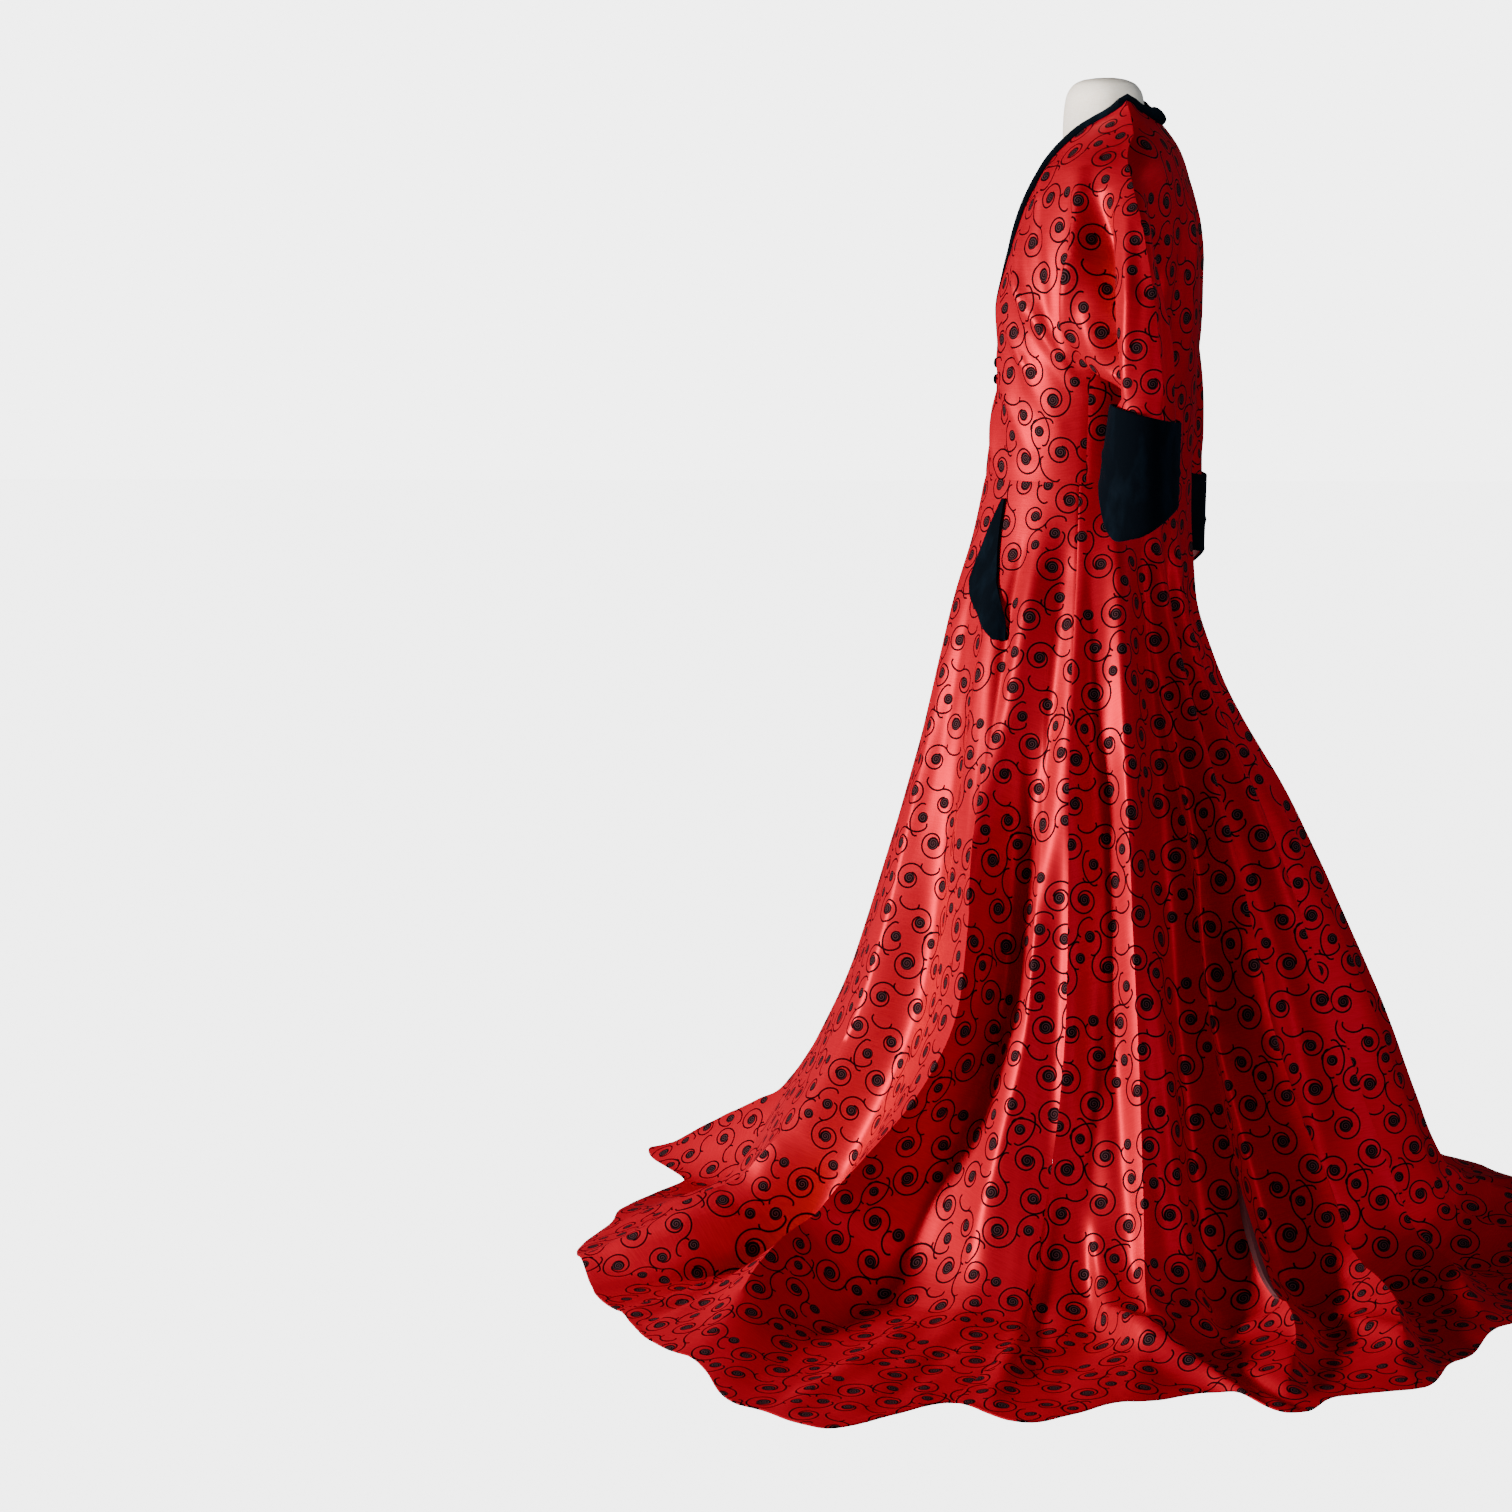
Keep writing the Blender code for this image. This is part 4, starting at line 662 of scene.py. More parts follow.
def back_half():
    """Left half of the back, a row from the centre back out, from the neck down."""
    tops = []
    for share in np.linspace(0, 1, NECK_COLUMNS + 1):
        x = NECK_HALF * share
        z = NAPE_Z + (NECK_POINT_Z - NAPE_Z) * share**2
        tops.append(ring_point(math.pi - direction_of(x, z), z))
    tops += [shoulder_line(share) for share in np.linspace(0, 1, SHOULDER_COLUMNS + 1)[1:]]
    chest_arm = math.radians(smooth_rows(ARM_LINE, CHEST_Z)[1])
    columns = np.linspace(0, 1, BACK_COLUMNS + 1)
    grid = []
    for down in UPPER_SHARES:
        row = []
        for share, top in zip(columns, tops):
            low = ring_point(math.pi + (chest_arm - math.pi) * share, CHEST_Z)
            z = top[2] + (CHEST_Z - top[2]) * down
            x = top[0] + (low[0] - top[0]) * down
            row.append(ring_point(math.pi - direction_of(x, z), z))
        grid.append(row)
    for z in LOWER_HEIGHTS:
        outer = math.radians(smooth_rows(ARM_LINE, max(z, ARMPIT_Z))[1])
        grid.append([ring_point(math.pi + (outer - math.pi) * s, z) for s in columns])
    return np.array(grid)


def cuff_point(degrees, share, drop, lean, grow=0.0):
    """Point of the sleeve's end, in a direction from its front by way of its outside."""
    x, y, z = CUFF_CENTRE
    cosine, sine = math.cos(math.radians(degrees)), math.sin(math.radians(degrees))
    first = CUFF_BOTTOM[0][1]
    length = float(smooth_rows([*CUFF_BOTTOM, (360.0, first)], degrees % 360.0)[0])
    forward = CUFF_FORWARD * share * max(0.0, cosine)
    return np.array(
        [
            x + (CUFF_HALF_WIDTH + grow) * sine,
            y + lean - (CUFF_HALF_DEPTH + grow) * cosine - forward,
            z - drop + CUFF_TILT * cosine - length * share,
        ]
    )


SLEEVE_SHARES = finer([0.0, 0.10, 0.22, 0.36, 0.52, 0.68, 0.84, 1.0], BODY_STEPS)[1:]
INSIDE_SHARES = finer([0.0, 0.35, 0.70, 0.97], BODY_STEPS)[1:]


def sleeve_rings(loop, drop, lean):
    """Rings of the left sleeve from the armhole loop, over the top first, to its end."""
    count = len(loop)
    turns = [OVERARM_TURN - 360.0 * i / count for i in range(count)]
    ends = [cuff_point(turn, 0.0, drop, lean) for turn in turns]
    rings = []
    for share in SLEEVE_SHARES:
        ring = []
        for i, (start, end) in enumerate(zip(loop, ends)):
            over = 0.5 + 0.5 * math.cos(2 * math.pi * i / count)
            bulge = UNDERARM_BULGE + (SHOULDER_BULGE - UNDERARM_BULGE) * over
            out = unit(np.array(OVERARM_WAY) * over + np.array(UNDERARM_WAY) * (1 - over))
            length = float(np.linalg.norm(end - start))
            first = start + out * min(bulge, MOST_BULGE_SHARE * length)
            second = end + np.array([*END_LEAN, END_SHARE * length])
            a, b = 1 - share, share
            ring.append(a**3 * start + 3 * a * a * b * first + 3 * a * b * b * second + b**3 * end)
        rings.append(ring)
    for share in INSIDE_SHARES:
        rings.append([cuff_point(turn, share, drop, lean) for turn in turns])
    return np.array(rings)


def crease_lift(points, creases, sharp=False):
    """How far each point stands out because of creases that run along lines of points."""
    lift = np.zeros(len(points))
    power = 1 if sharp else 2
    for side, width, height, line in creases:
        for sign in (1.0, -1.0) if side == 0 else (side,):
            path = np.array(line) * np.array([sign, 1.0, 1.0])
            steps = np.linalg.norm(np.diff(path, axis=0), axis=1)
            whole, done = steps.sum(), 0.0
            best = np.full(len(points), 1.0)
            place = np.zeros(len(points))
            for a, b, step in zip(path[:-1], path[1:], steps):
                t = np.clip((points - a) @ (b - a) / step**2, 0.0, 1.0)
                away = np.linalg.norm(points - a - t[:, None] * (b - a), axis=1)
                nearer = away < best
                best = np.where(nearer, away, best)
                place = np.where(nearer, (done + t * step) / whole, place)
                done += step
            fade = 1.0 if sharp else np.sin(np.pi * place) ** CREASE_FADE
            lift += height * np.exp(-((best / width) ** power)) * fade
    return lift


def relaxed(sheet, middle, reach, rounds):
    """The sheet's points, smoothed over near the given points, less and less further off."""
    points = np.array(sheet.points)
    away = np.full(len(points), np.inf)
    for i in middle:
        away = np.minimum(away, np.linalg.norm(points - points[i], axis=1))
    share = ease(np.clip(1.0 - away / reach, 0.0, 1.0))[:, None] / 2
    pairs = {(a, b) for face in sheet.faces for a, b in zip(face, face[1:] + face[:1])}
    pairs = np.array(sorted(pairs | {(b, a) for a, b in pairs}))
    count = np.bincount(pairs[:, 0], minlength=len(points))[:, None]
    for _ in range(rounds):
        total = np.zeros_like(points)
        np.add.at(total, pairs[:, 0], points[pairs[:, 1]])
        points += share * (total / count - points)
    return points


class Sheet:
    """A surface made of four-sided faces, each with the name of the piece it belongs to."""

    def __init__(self):
        self.points = []
        self.faces = []
        self.labels = []

    def add_grid(self, grid, label, known=None, flip=False):
        """Adds a grid of points; known maps grid places to points that already exist."""
        known = known or {}
        index = {}
        for r, row in enumerate(grid):
            for c, point in enumerate(row):
                if (r, c) in known:
                    index[r, c] = known[r, c]
                else:
                    index[r, c] = len(self.points)
                    self.points.append(np.array(point, float))
        for r in range(len(grid) - 1):
            for c in range(len(grid[0]) - 1):
                face = [index[r, c], index[r + 1, c], index[r + 1, c + 1], index[r, c + 1]]
                if flip:
                    face.reverse()
                unique = list(dict.fromkeys(face))
                if len(unique) > 2:
                    self.faces.append(unique)
                    self.labels.append(label(r, c) if callable(label) else label)
        return index

    def normals(self):
        points = np.array(self.points)
        corners = np.array([face if len(face) == 4 else [*face, face[2]] for face in self.faces])
        a, b, c, d = (points[corners[:, i]] for i in range(4))
        across = np.cross(c - a, d - b)
        total = np.zeros_like(points)
        for i in range(4):
            np.add.at(total, corners[:, i], across)
        return total / np.maximum(np.linalg.norm(total, axis=1), 1e-12)[:, None]


def mirrored(grid):
    return grid * np.array([-1.0, 1.0, 1.0])


# Meshes


def plain_mesh(name, points, faces, uv=None, inside_from=None, looks=()):
    """Mesh of points and faces, with a flat place in metres for each point of the cloth."""
    mesh = bpy.data.meshes.new(name)
    mesh.from_pydata([tuple(map(float, p)) for p in points], [], faces)
    for look in looks:
        mesh.materials.append(look)
    if uv is not None:
        layer = mesh.uv_layers.new(name="flat_cut")
        corners = np.zeros(len(mesh.loops), np.int32)
        mesh.loops.foreach_get("vertex_index", corners)
        layer.data.foreach_set("uv", np.asarray(uv, np.float32)[corners].ravel())
    if inside_from is not None:
        which = [1 if min(face) >= inside_from else 0 for face in faces]
        mesh.polygons.foreach_set("material_index", which)
    mesh.shade_smooth()
    mesh.set_sharp_from_angle(angle=math.radians(50))
    mesh.update()
    return mesh


def new_piece(name, mesh):
    obj = bpy.data.objects.new(name, mesh)
    bpy.context.scene.collection.objects.link(obj)
    return obj


def flat_cut(points, faces):
    """Lays a piece of cloth flat: each point's place on the cut, in metres, hanging down -V."""
    mesh = bpy.data.meshes.new("cut")
    mesh.from_pydata([tuple(map(float, p)) for p in points], [], faces)
    obj = new_piece("cut", mesh)
    bpy.context.view_layer.objects.active = obj
    obj.select_set(True)
    bpy.ops.object.mode_set(mode="EDIT")
    bpy.ops.mesh.select_all(action="SELECT")
    bpy.ops.uv.unwrap(method="ANGLE_BASED", margin=0.0)
    bpy.ops.object.mode_set(mode="OBJECT")
    corners = np.zeros(len(mesh.loops), np.int32)
    mesh.loops.foreach_get("vertex_index", corners)
    flat = np.zeros(2 * len(mesh.loops), np.float32)
    mesh.uv_layers.active.data.foreach_get("uv", flat)
    uv = np.zeros((len(points), 2))
    uv[corners] = flat.reshape(-1, 2)
    bpy.data.objects.remove(obj, do_unlink=True)
    bpy.data.meshes.remove(mesh)
    tri = np.array([[f[0], f[i], f[i + 1]] for f in faces for i in range(1, len(f) - 1)])
    solid, plane = np.asarray(points)[tri], uv[tri]
    area = np.linalg.norm(np.cross(solid[:, 1] - solid[:, 0], solid[:, 2] - solid[:, 0]), axis=1)
    one, two = plane[:, 1] - plane[:, 0], plane[:, 2] - plane[:, 0]
    turn = one[:, 0] * two[:, 1] - one[:, 1] * two[:, 0]
    uv *= math.sqrt(area.sum() / np.abs(turn).sum())
    if turn.sum() < 0:
        uv[:, 0] *= -1
    plane = uv[tri]
    one, two = plane[:, 1] - plane[:, 0], plane[:, 2] - plane[:, 0]
    turn = np.maximum(one[:, 0] * two[:, 1] - one[:, 1] * two[:, 0], 1e-9)
    rise_one, rise_two = solid[:, 1, 2] - solid[:, 0, 2], solid[:, 2, 2] - solid[:, 0, 2]
    up_u = ((rise_one * two[:, 1] - rise_two * one[:, 1]) / turn * area).sum()
    up_v = ((rise_two * one[:, 0] - rise_one * two[:, 0]) / turn * area).sum()
    angle = math.pi / 2 - math.atan2(up_v, up_u)
    cosine, sine = math.cos(angle), math.sin(angle)
    return uv @ np.array([[cosine, sine], [-sine, cosine]])


def cloth_shell(name, sheet, normals, label, wall, gap, looks, sewn=frozenset()):
    """Closed thin wall of one piece: its outer face, drawn back from its seams, and an inner one.

    sewn holds the points along a seam to another sheet, which are drawn back too.
    """
    points = np.array(sheet.points)
    faces = [f for f, name_of in zip(sheet.faces, sheet.labels) if name_of == label]
    uses = {}
    for face in faces:
        for a, b in zip(face, face[1:] + face[:1]):
            uses[a, b] = face
    border = [(a, b, face) for (a, b), face in uses.items() if (b, a) not in uses]
    shared = set()
    for face, name_of in zip(sheet.faces, sheet.labels):
        if name_of != label:
            for a, b in zip(face, face[1:] + face[:1]):
                shared.add((b, a))
    pulls = {}
    for a, b, face in border:
        if (a, b) in shared or (a in sewn and b in sewn):
            inward = unit(np.cross(normals[a] + normals[b], points[b] - points[a]))
            if np.dot(points[face].mean(axis=0) - points[a], inward) < 0:
                inward = -inward
            pulls.setdefault(a, []).append(inward)
            pulls.setdefault(b, []).append(inward)
    used = sorted({i for face in faces for i in face})
    place = {i: n for n, i in enumerate(used)}
    outer = points[used].copy()
    for i, inward in pulls.items():
        first, last = inward[0], inward[-1]
        outer[place[i]] += gap / 2 * (first + last) / (1 + float(np.dot(first, last)))
        outer[place[i]] -= normals[i] * SEAM_SINK
    inner = outer - normals[used] * wall
    inner[:, 2] = np.maximum(inner[:, 2], 0.0)
    count = len(used)
    front = [[place[i] for i in face] for face in faces]
    back = [[i + count for i in reversed(face)] for face in front]
    rim = [[place[b], place[a], place[a] + count, place[b] + count] for a, b, _ in border]
    uv = flat_cut(outer, front)
    mesh = plain_mesh(
        name, np.concatenate([outer, inner]), front + back + rim,
        np.concatenate([uv, uv]), count, looks,
    )
    return new_piece(name, mesh)


def on_the_gown(obj, node):
    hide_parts(node)
    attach(obj, "root")


def build_skirt(looks):
    grid = fine_skirt()
    count = grid.shape[1]
    sheet = Sheet()

    def gore(_, column):
        if column < SIDE_LEFT * LINE_STEPS:
            return "skirt_front_left"
        if column < CENTRE_BACK * LINE_STEPS:
            return "skirt_back_left"
        if column < SIDE_RIGHT * LINE_STEPS:
            return "skirt_back_right"
        return "skirt_front_right"

    closed = np.concatenate([grid, grid[:, :1]], axis=1)
    known = {(row, count): row * count for row in range(len(grid))}
    index = sheet.add_grid(closed, gore, known)
    normals = sheet.normals()
    for column in range(count):
        top, low = index[0, column], index[len(grid) - 1, column]
        normals[top, 2] = 0.0
        normals[top] = unit(normals[top])
        normals[low] = unit(normals[low] + np.array([0.0, 0.0, 1.0]))
    waist = {index[0, column] for column in range(count)}
    pieces = {}
    for label in ("skirt_front_left", "skirt_back_left", "skirt_back_right", "skirt_front_right"):
        piece = cloth_shell(f"{label}_cloth", sheet, normals, label, WALL, SEAM_GAP, looks, waist)
        on_the_gown(piece, label)
        pieces[label] = piece
    return grid, pieces


def join_body(front, back):
    """Sheet of the two fronts and the back, and each side's places of its points in it."""
    sheet = Sheet()
    rows = len(front)
    left_front = sheet.add_grid(front, "front_left")
    known = {(row, BACK_COLUMNS): left_front[row, SHOULDER_COLUMNS] for row in range(ARMPIT_ROW, rows)}
    for column in range(SHOULDER_COLUMNS + 1):
        known[0, NECK_COLUMNS + column] = left_front[0, column]
    left_back = sheet.add_grid(back, "back", known, flip=True)
    centre_front = {(row, 0): left_front[row, 0] for row in range(CENTRE_ROW, rows)}
    right_front = sheet.add_grid(mirrored(front), "front_right", centre_front, flip=True)
    known = {(row, 0): left_back[row, 0] for row in range(rows)}
    for row in range(ARMPIT_ROW, rows):
        known[row, BACK_COLUMNS] = right_front[row, SHOULDER_COLUMNS]
    for column in range(SHOULDER_COLUMNS + 1):
        known[0, NECK_COLUMNS + column] = right_front[0, column]
    right_back = sheet.add_grid(mirrored(back), "back", known)
    return sheet, {"left": (left_front, left_back), "right": (right_front, right_back)}


def add_sleeves(sheet, sides):
    """Sews the sleeves to the armholes. Returns the armhole points and the overarm seams."""
    seams, armholes = {}, []
    for sign, name, drop, lean in SLEEVES:
        fronts, backs = sides[name]
        loop = [fronts[row, SHOULDER_COLUMNS] for row in range(ARMPIT_ROW + 1)]
        loop += [backs[row, BACK_COLUMNS] for row in range(ARMPIT_ROW - 1, 0, -1)]
        armholes += loop
        loop_points = np.array([sheet.points[i] for i in loop])
        if sign < 0:
            rings = mirrored(sleeve_rings(mirrored(loop_points), drop, lean))
        else:
            rings = sleeve_rings(loop_points, drop, lean)
        grid = np.concatenate([loop_points[None], rings])
        grid = np.concatenate([grid, grid[:, :1]], axis=1)
        count = len(loop)
        known = {(0, c): loop[c % count] for c in range(count + 1)}
        first = len(sheet.points)
        seams[sign] = [fronts[0, column] for column in range(0, SHOULDER_COLUMNS + 1, BODY_STEPS)]
        ring_rows = range(BODY_STEPS - 1, len(SLEEVE_SHARES), BODY_STEPS)
        seams[sign] += [first + row * count for row in ring_rows]
        for row in range(1, len(grid)):
            known[row, count] = first + (row - 1) * count

        def half(_, column, name=name):
            return f"front_{name}" if column < ARMPIT_ROW else "back"

        sheet.add_grid(grid, half, known, flip=sign > 0)
    return armholes, seams


def bodice_settle(points):
    """Share of the creases that is left at each point near the seams and the cuffs."""
    settle = np.clip((points[:, 2] - WAIST_Z) / BODICE_SETTLE, 0.0, 1.0)
    settle *= np.clip((np.abs(points[:, 0]) - CENTRE_PLAIN) / CENTRE_SETTLE, 0.0, 1.0)
    inside_cuff = np.abs(points[:, 0]) > CUFF_CENTRE[0] - CUFF_HALF_WIDTH - CUFF_CLEAR
    low = np.where(points[:, 0] > 0, CUFF_CENTRE[2], CUFF_CENTRE[2] - SLEEVES[1][2])
    covered = np.clip((points[:, 2] - low - CUFF_CLEAR) / CUFF_SETTLE, 0.0, 1.0)
    return np.where(inside_cuff & (points[:, 2] < low + CUFF_NEAR), covered, settle)


def crease_bodice(sheet, body_count, seams):
    """Moves the sheet's points out and in by its creases; the body's points come first."""
    normals = sheet.normals()
    points = np.array(sheet.points)
    lift = DRAG_SHARE * crease_lift(points, BODICE_CREASES) + crease_lift(points, SLEEVE_CREASES)
    lift[:body_count] = np.maximum(lift[:body_count], BODY_DEEPEST)
    for side, seam in seams.items():
        line = points[seam] * [side, 1, 1]
        lift += crease_lift(points, [(side, OVERARM_WIDTH, OVERARM_CREST, line)], True)
    lift += cloth_waver(points, *BODICE_WAVER)
    points = points + normals * (lift * bodice_settle(points))[:, None]
    sheet.points = list(points)
    return points


def build_bodice(looks):
    """Fronts and back with their sleeves. Returns the neckline's points and normals too."""
    front, back = front_half(), back_half()
    sheet, sides = join_body(front, back)
    body_count = len(sheet.points)
    armholes, seams = add_sleeves(sheet, sides)
    sheet.points = list(relaxed(sheet, armholes, JOIN_REACH, JOIN_ROUNDS))
    points = crease_bodice(sheet, body_count, seams)
    normals = sheet.normals()
    waist = set()
    for fronts, backs in sides.values():
        for table, columns in ((fronts, SHOULDER_COLUMNS), (backs, BACK_COLUMNS)):
            waist |= {table[len(front) - 1, column] for column in range(columns + 1)}
    for bottom in waist:
        normals[bottom, 2] = 0.0
        normals[bottom] = unit(normals[bottom])
    pieces = {}
    for label in ("front_left", "front_right", "back"):
        piece = cloth_shell(f"{label}_cloth", sheet, normals, label, WALL, SEAM_GAP, looks, waist)
        on_the_gown(piece, label)
        pieces[label] = piece
    (left_front, left_back), (right_front, right_back) = sides["left"], sides["right"]
    depth = range(BAND_PATH_STEPS)
    lines = [[left_front[row, c] for c in depth] for row in range(CENTRE_ROW, 0, -1)]
    lines += [[left_back[2 * r, column] for r in depth] for column in range(NECK_COLUMNS, -1, -1)]
    lines += [[right_back[2 * r, c] for r in depth] for c in range(1, NECK_COLUMNS + 1)]
    lines += [[right_front[row, c] for c in depth] for row in range(1, CENTRE_ROW + 1)]
    return [(points[line], normals[line]) for line in lines], pieces


# Velvet pieces


def cuff_grow(share, outer):
    """How far the cuff's outer or inner face stands off the sleeve at a share of its length."""
    thin = CUFF_ROUND * (1 - math.sqrt(min(1.0, min(share, 1.0 - share) / CUFF_EDGE)))
    lying = LIE_GAP + CUFF_TOP_FLARE * (1 - share)
    if not outer:
        return lying + VELVET * thin
    swell = 0.0
    for height, middle, width in (CUFF_FOLD, CUFF_PIPING):
        swell += height * math.exp(-(((share - middle) / width) ** 2))
    return lying + VELVET * (1 - thin) + swell


def build_cuffs(velvet):
    """Turn-back cuffs: a velvet wall round the end of each sleeve, rounded at both edges."""
    sides = 2 * ARMPIT_ROW
    turns = [OVERARM_TURN + 360.0 * i / sides for i in range(sides)]
    shares = ease(np.linspace(0.0, 1.0, CUFF_ROWS))
    faces = [(share, True) for share in shares] + [(share, False) for share in shares[::-1]]
    pieces = {}
    for sign, name, drop, lean in SLEEVES:
        rings = []
        for share, outer in faces:
            grow = cuff_grow(share, outer)
            rings.append([cuff_point(turn, share, drop, lean, grow) for turn in turns])
        rings = np.array(rings)
        if sign < 0:
            rings = mirrored(rings)
        sheet = Sheet()
        closed = np.concatenate([rings, rings[:, :1]], axis=1)
        closed = np.concatenate([closed, closed[:1]])
        known = {(row, sides): row * sides for row in range(len(rings))}
        for column in range(sides + 1):
            known[len(rings), column] = column % sides
        sheet.add_grid(closed, "cuff", known, flip=sign < 0)
        mesh = plain_mesh(f"cuff_{name}_velvet", sheet.points, sheet.faces, looks=[velvet])
        piece = new_piece(f"cuff_{name}_velvet", mesh)
        on_the_gown(piece, f"cuff_{name}")
        pieces[f"cuff_{name}"] = piece
    return pieces


def along_path(path, distance):
    """Point and normal of the cloth at a distance in from the neckline along a path over it."""
    points, normals = path
    place = np.concatenate([[0.0], np.cumsum(np.linalg.norm(np.diff(points, axis=0), axis=1))])
    point = np.array([np.interp(distance, place, points[:, i]) for i in range(3)])
    normal = unit(np.array([np.interp(distance, place, normals[:, i]) for i in range(3)]))
    return point, normal


def build_neck_band(paths, velvet):
    """Velvet band that binds the neckline: it lies on the cloth and folds round its edge."""
    edge = np.array([path[0][0] for path in paths])
    points = edge.copy()
    points[0] += BAND_END_TRIM * BODY_STEPS * (edge[1] - edge[0])
    points[-1] += BAND_END_TRIM * BODY_STEPS * (edge[-2] - edge[-1])
    middle = len(points) // 2
    along = np.linalg.norm(np.diff(points, axis=0), axis=1)
    place = np.concatenate([[0.0], np.cumsum(along)])
    nape = np.exp(-(((place - place[middle]) / NAPE_SPREAD) ** 2))
    tangents = np.gradient(points, axis=0)
    tangents /= np.linalg.norm(tangents, axis=1)[:, None]
    rings = []
    for point, path, tangent, share, at in zip(points, paths, tangents, nape, place):
        shift = point - path[0][0]
        normal = path[1][0]
        inward = unit(np.cross(tangent, normal))
        wide = BAND_WIDTH + (NAPE_WIDTH - BAND_WIDTH) * share
        plain = float(smooth_rows(BAND_THICK, point[2])[0])
        thick = plain + (NAPE_THICK - plain) * share
        rise = BAND_RISE + (NAPE_RISE - BAND_RISE) * share
        uneven = 1.0 + BAND_UNEVEN * noise.noise(Vector((at / BAND_UNEVEN_LENGTH, 0.0, 5.0)))
        ring = []
        for i in range(BAND_SECTION_POINTS):
            turn = math.pi * i / (BAND_SECTION_POINTS - 1)
            across = math.cos(turn)
            on, facing = along_path(path, wide * max(0.0, -across))
            out = math.sin(turn) ** BAND_FULLNESS * thick * uneven
            ring.append(on + shift - inward * rise * max(0.0, across) + facing * (BAND_LIFT + out))
        for distance in (wide * 0.5, 0.0):
            on, facing = along_path(path, distance)
            ring.append(on + shift + facing * LIE_GAP / 2)
        under = WALL + LIE_GAP
        ring.append(point - inward * LIE_GAP - normal * WALL / 2)
        ring.append(point + inward * BAND_TURN_IN - normal * under)
        ring.append(point + inward * BAND_TURN_IN - normal * (under + BAND_UNDER))
        tucked = inward * BAND_RISE * BAND_UNDER_SHARE
        ring.append(point - tucked - normal * (under + BAND_UNDER / 2))
        rings.append(ring)
    piece = new_piece("neck_band_velvet", loft_mesh("neck_band_velvet", rings, velvet))
    on_the_gown(piece, "neck_band")
    return piece


def tube_faces(rows, count):
    """Faces of a closed body through rings of points, with its two ends filled."""
    faces = []
    for row in range(rows - 1):
        for i in range(count):
            j = (i + 1) % count
            a, b = row * count, (row + 1) * count
            faces.append([a + i, a + j, b + j, b + i])
    faces.append(list(range(count))[::-1])
    faces.append([(rows - 1) * count + i for i in range(count)])
    return faces


def outward(mesh):
    shaped = bmesh.new()
    shaped.from_mesh(mesh)
    bmesh.ops.remove_doubles(shaped, verts=shaped.verts, dist=1e-6)
    bmesh.ops.recalc_face_normals(shaped, faces=shaped.faces)
    shaped.to_mesh(mesh)
    shaped.free()


def skirt_point(grid, degrees, z):
    """Point of the skirt's outer face in a direction at a height above the knee."""
    heights = grid[:, 0, 2]
    row = int(np.argmax(heights < z)) - 1
    share = (heights[row] - z) / (heights[row] - heights[row + 1])
    ring = grid[row] + (grid[row + 1] - grid[row]) * share
    turns = np.degrees(np.arctan2(ring[:, 0], -ring[:, 1])) % 360.0
    order = np.argsort(turns)
    radius = np.hypot(ring[:, 0], ring[:, 1])
    reach = np.interp(degrees % 360.0, turns[order], radius[order], period=360.0)
    turn = math.radians(degrees)
    return np.array([reach * math.sin(turn), -reach * math.cos(turn), z])


def build_pocket_flaps(skirt, velvet):
    """Velvet flaps on the front hips, lying on the skirt and standing off at their front edge."""
    widest = max(back - front for _, front, back in FLAP_ROWS)
    pieces = {}
    heights = finer([row[0] for row in FLAP_ROWS], FLAP_STEPS)
    for sign, name in ((1.0, "pocket_flap_left"), (-1.0, "pocket_flap_right")):
        grid = []
        for z in heights:
            front_edge, back_edge = smooth_rows(FLAP_ROWS, z)
            row = []
            for share in np.linspace(0, 1, FLAP_COLUMNS + 1):
                degrees = sign * (front_edge + (back_edge - front_edge) * share)
                point = skirt_point(skirt, degrees, z)
                out = unit(np.array([point[0], point[1], 0.0]))
                lift = FLAP_STAND * (1 - share) * (back_edge - front_edge) / widest
                row.append(point + out * (VELVET + 3 * LIE_GAP + lift))
            grid.append(row)
        sheet = Sheet()
        sheet.add_grid(grid, name, flip=sign < 0)
        normals = sheet.normals()
        points = np.array(sheet.points)
        count = len(points)
        back_faces = [[i + count for i in reversed(face)] for face in sheet.faces]
        uses = {(a, b) for face in sheet.faces for a, b in zip(face, face[1:] + face[:1])}
        rim = [[b, a, a + count, b + count] for a, b in uses if (b, a) not in uses]
        both = np.concatenate([points, points - normals * VELVET])
        mesh = plain_mesh(f"{name}_velvet", both, sheet.faces + back_faces + rim, looks=[velvet])
        piece = new_piece(f"{name}_velvet", mesh)
        round_edges(piece, FLAP_EDGE)
        on_the_gown(piece, name)
        pieces[name] = piece
    return pieces


def round_edges(obj, width):
    bevel = obj.modifiers.new("soft edge", "BEVEL")
    bevel.width = width
    bevel.segments = 3
    bevel.limit_method = "ANGLE"
    bevel.angle_limit = math.radians(50)
    bake_down(obj)


def bake_down(obj):
    """Turns an object with modifiers into its own plain mesh."""
    bpy.context.view_layer.update()
    graph = bpy.context.evaluated_depsgraph_get()
    mesh = bpy.data.meshes.new_from_object(obj.evaluated_get(graph), depsgraph=graph)
    obj.modifiers.clear()
    obj.data = mesh
    mesh.shade_smooth()


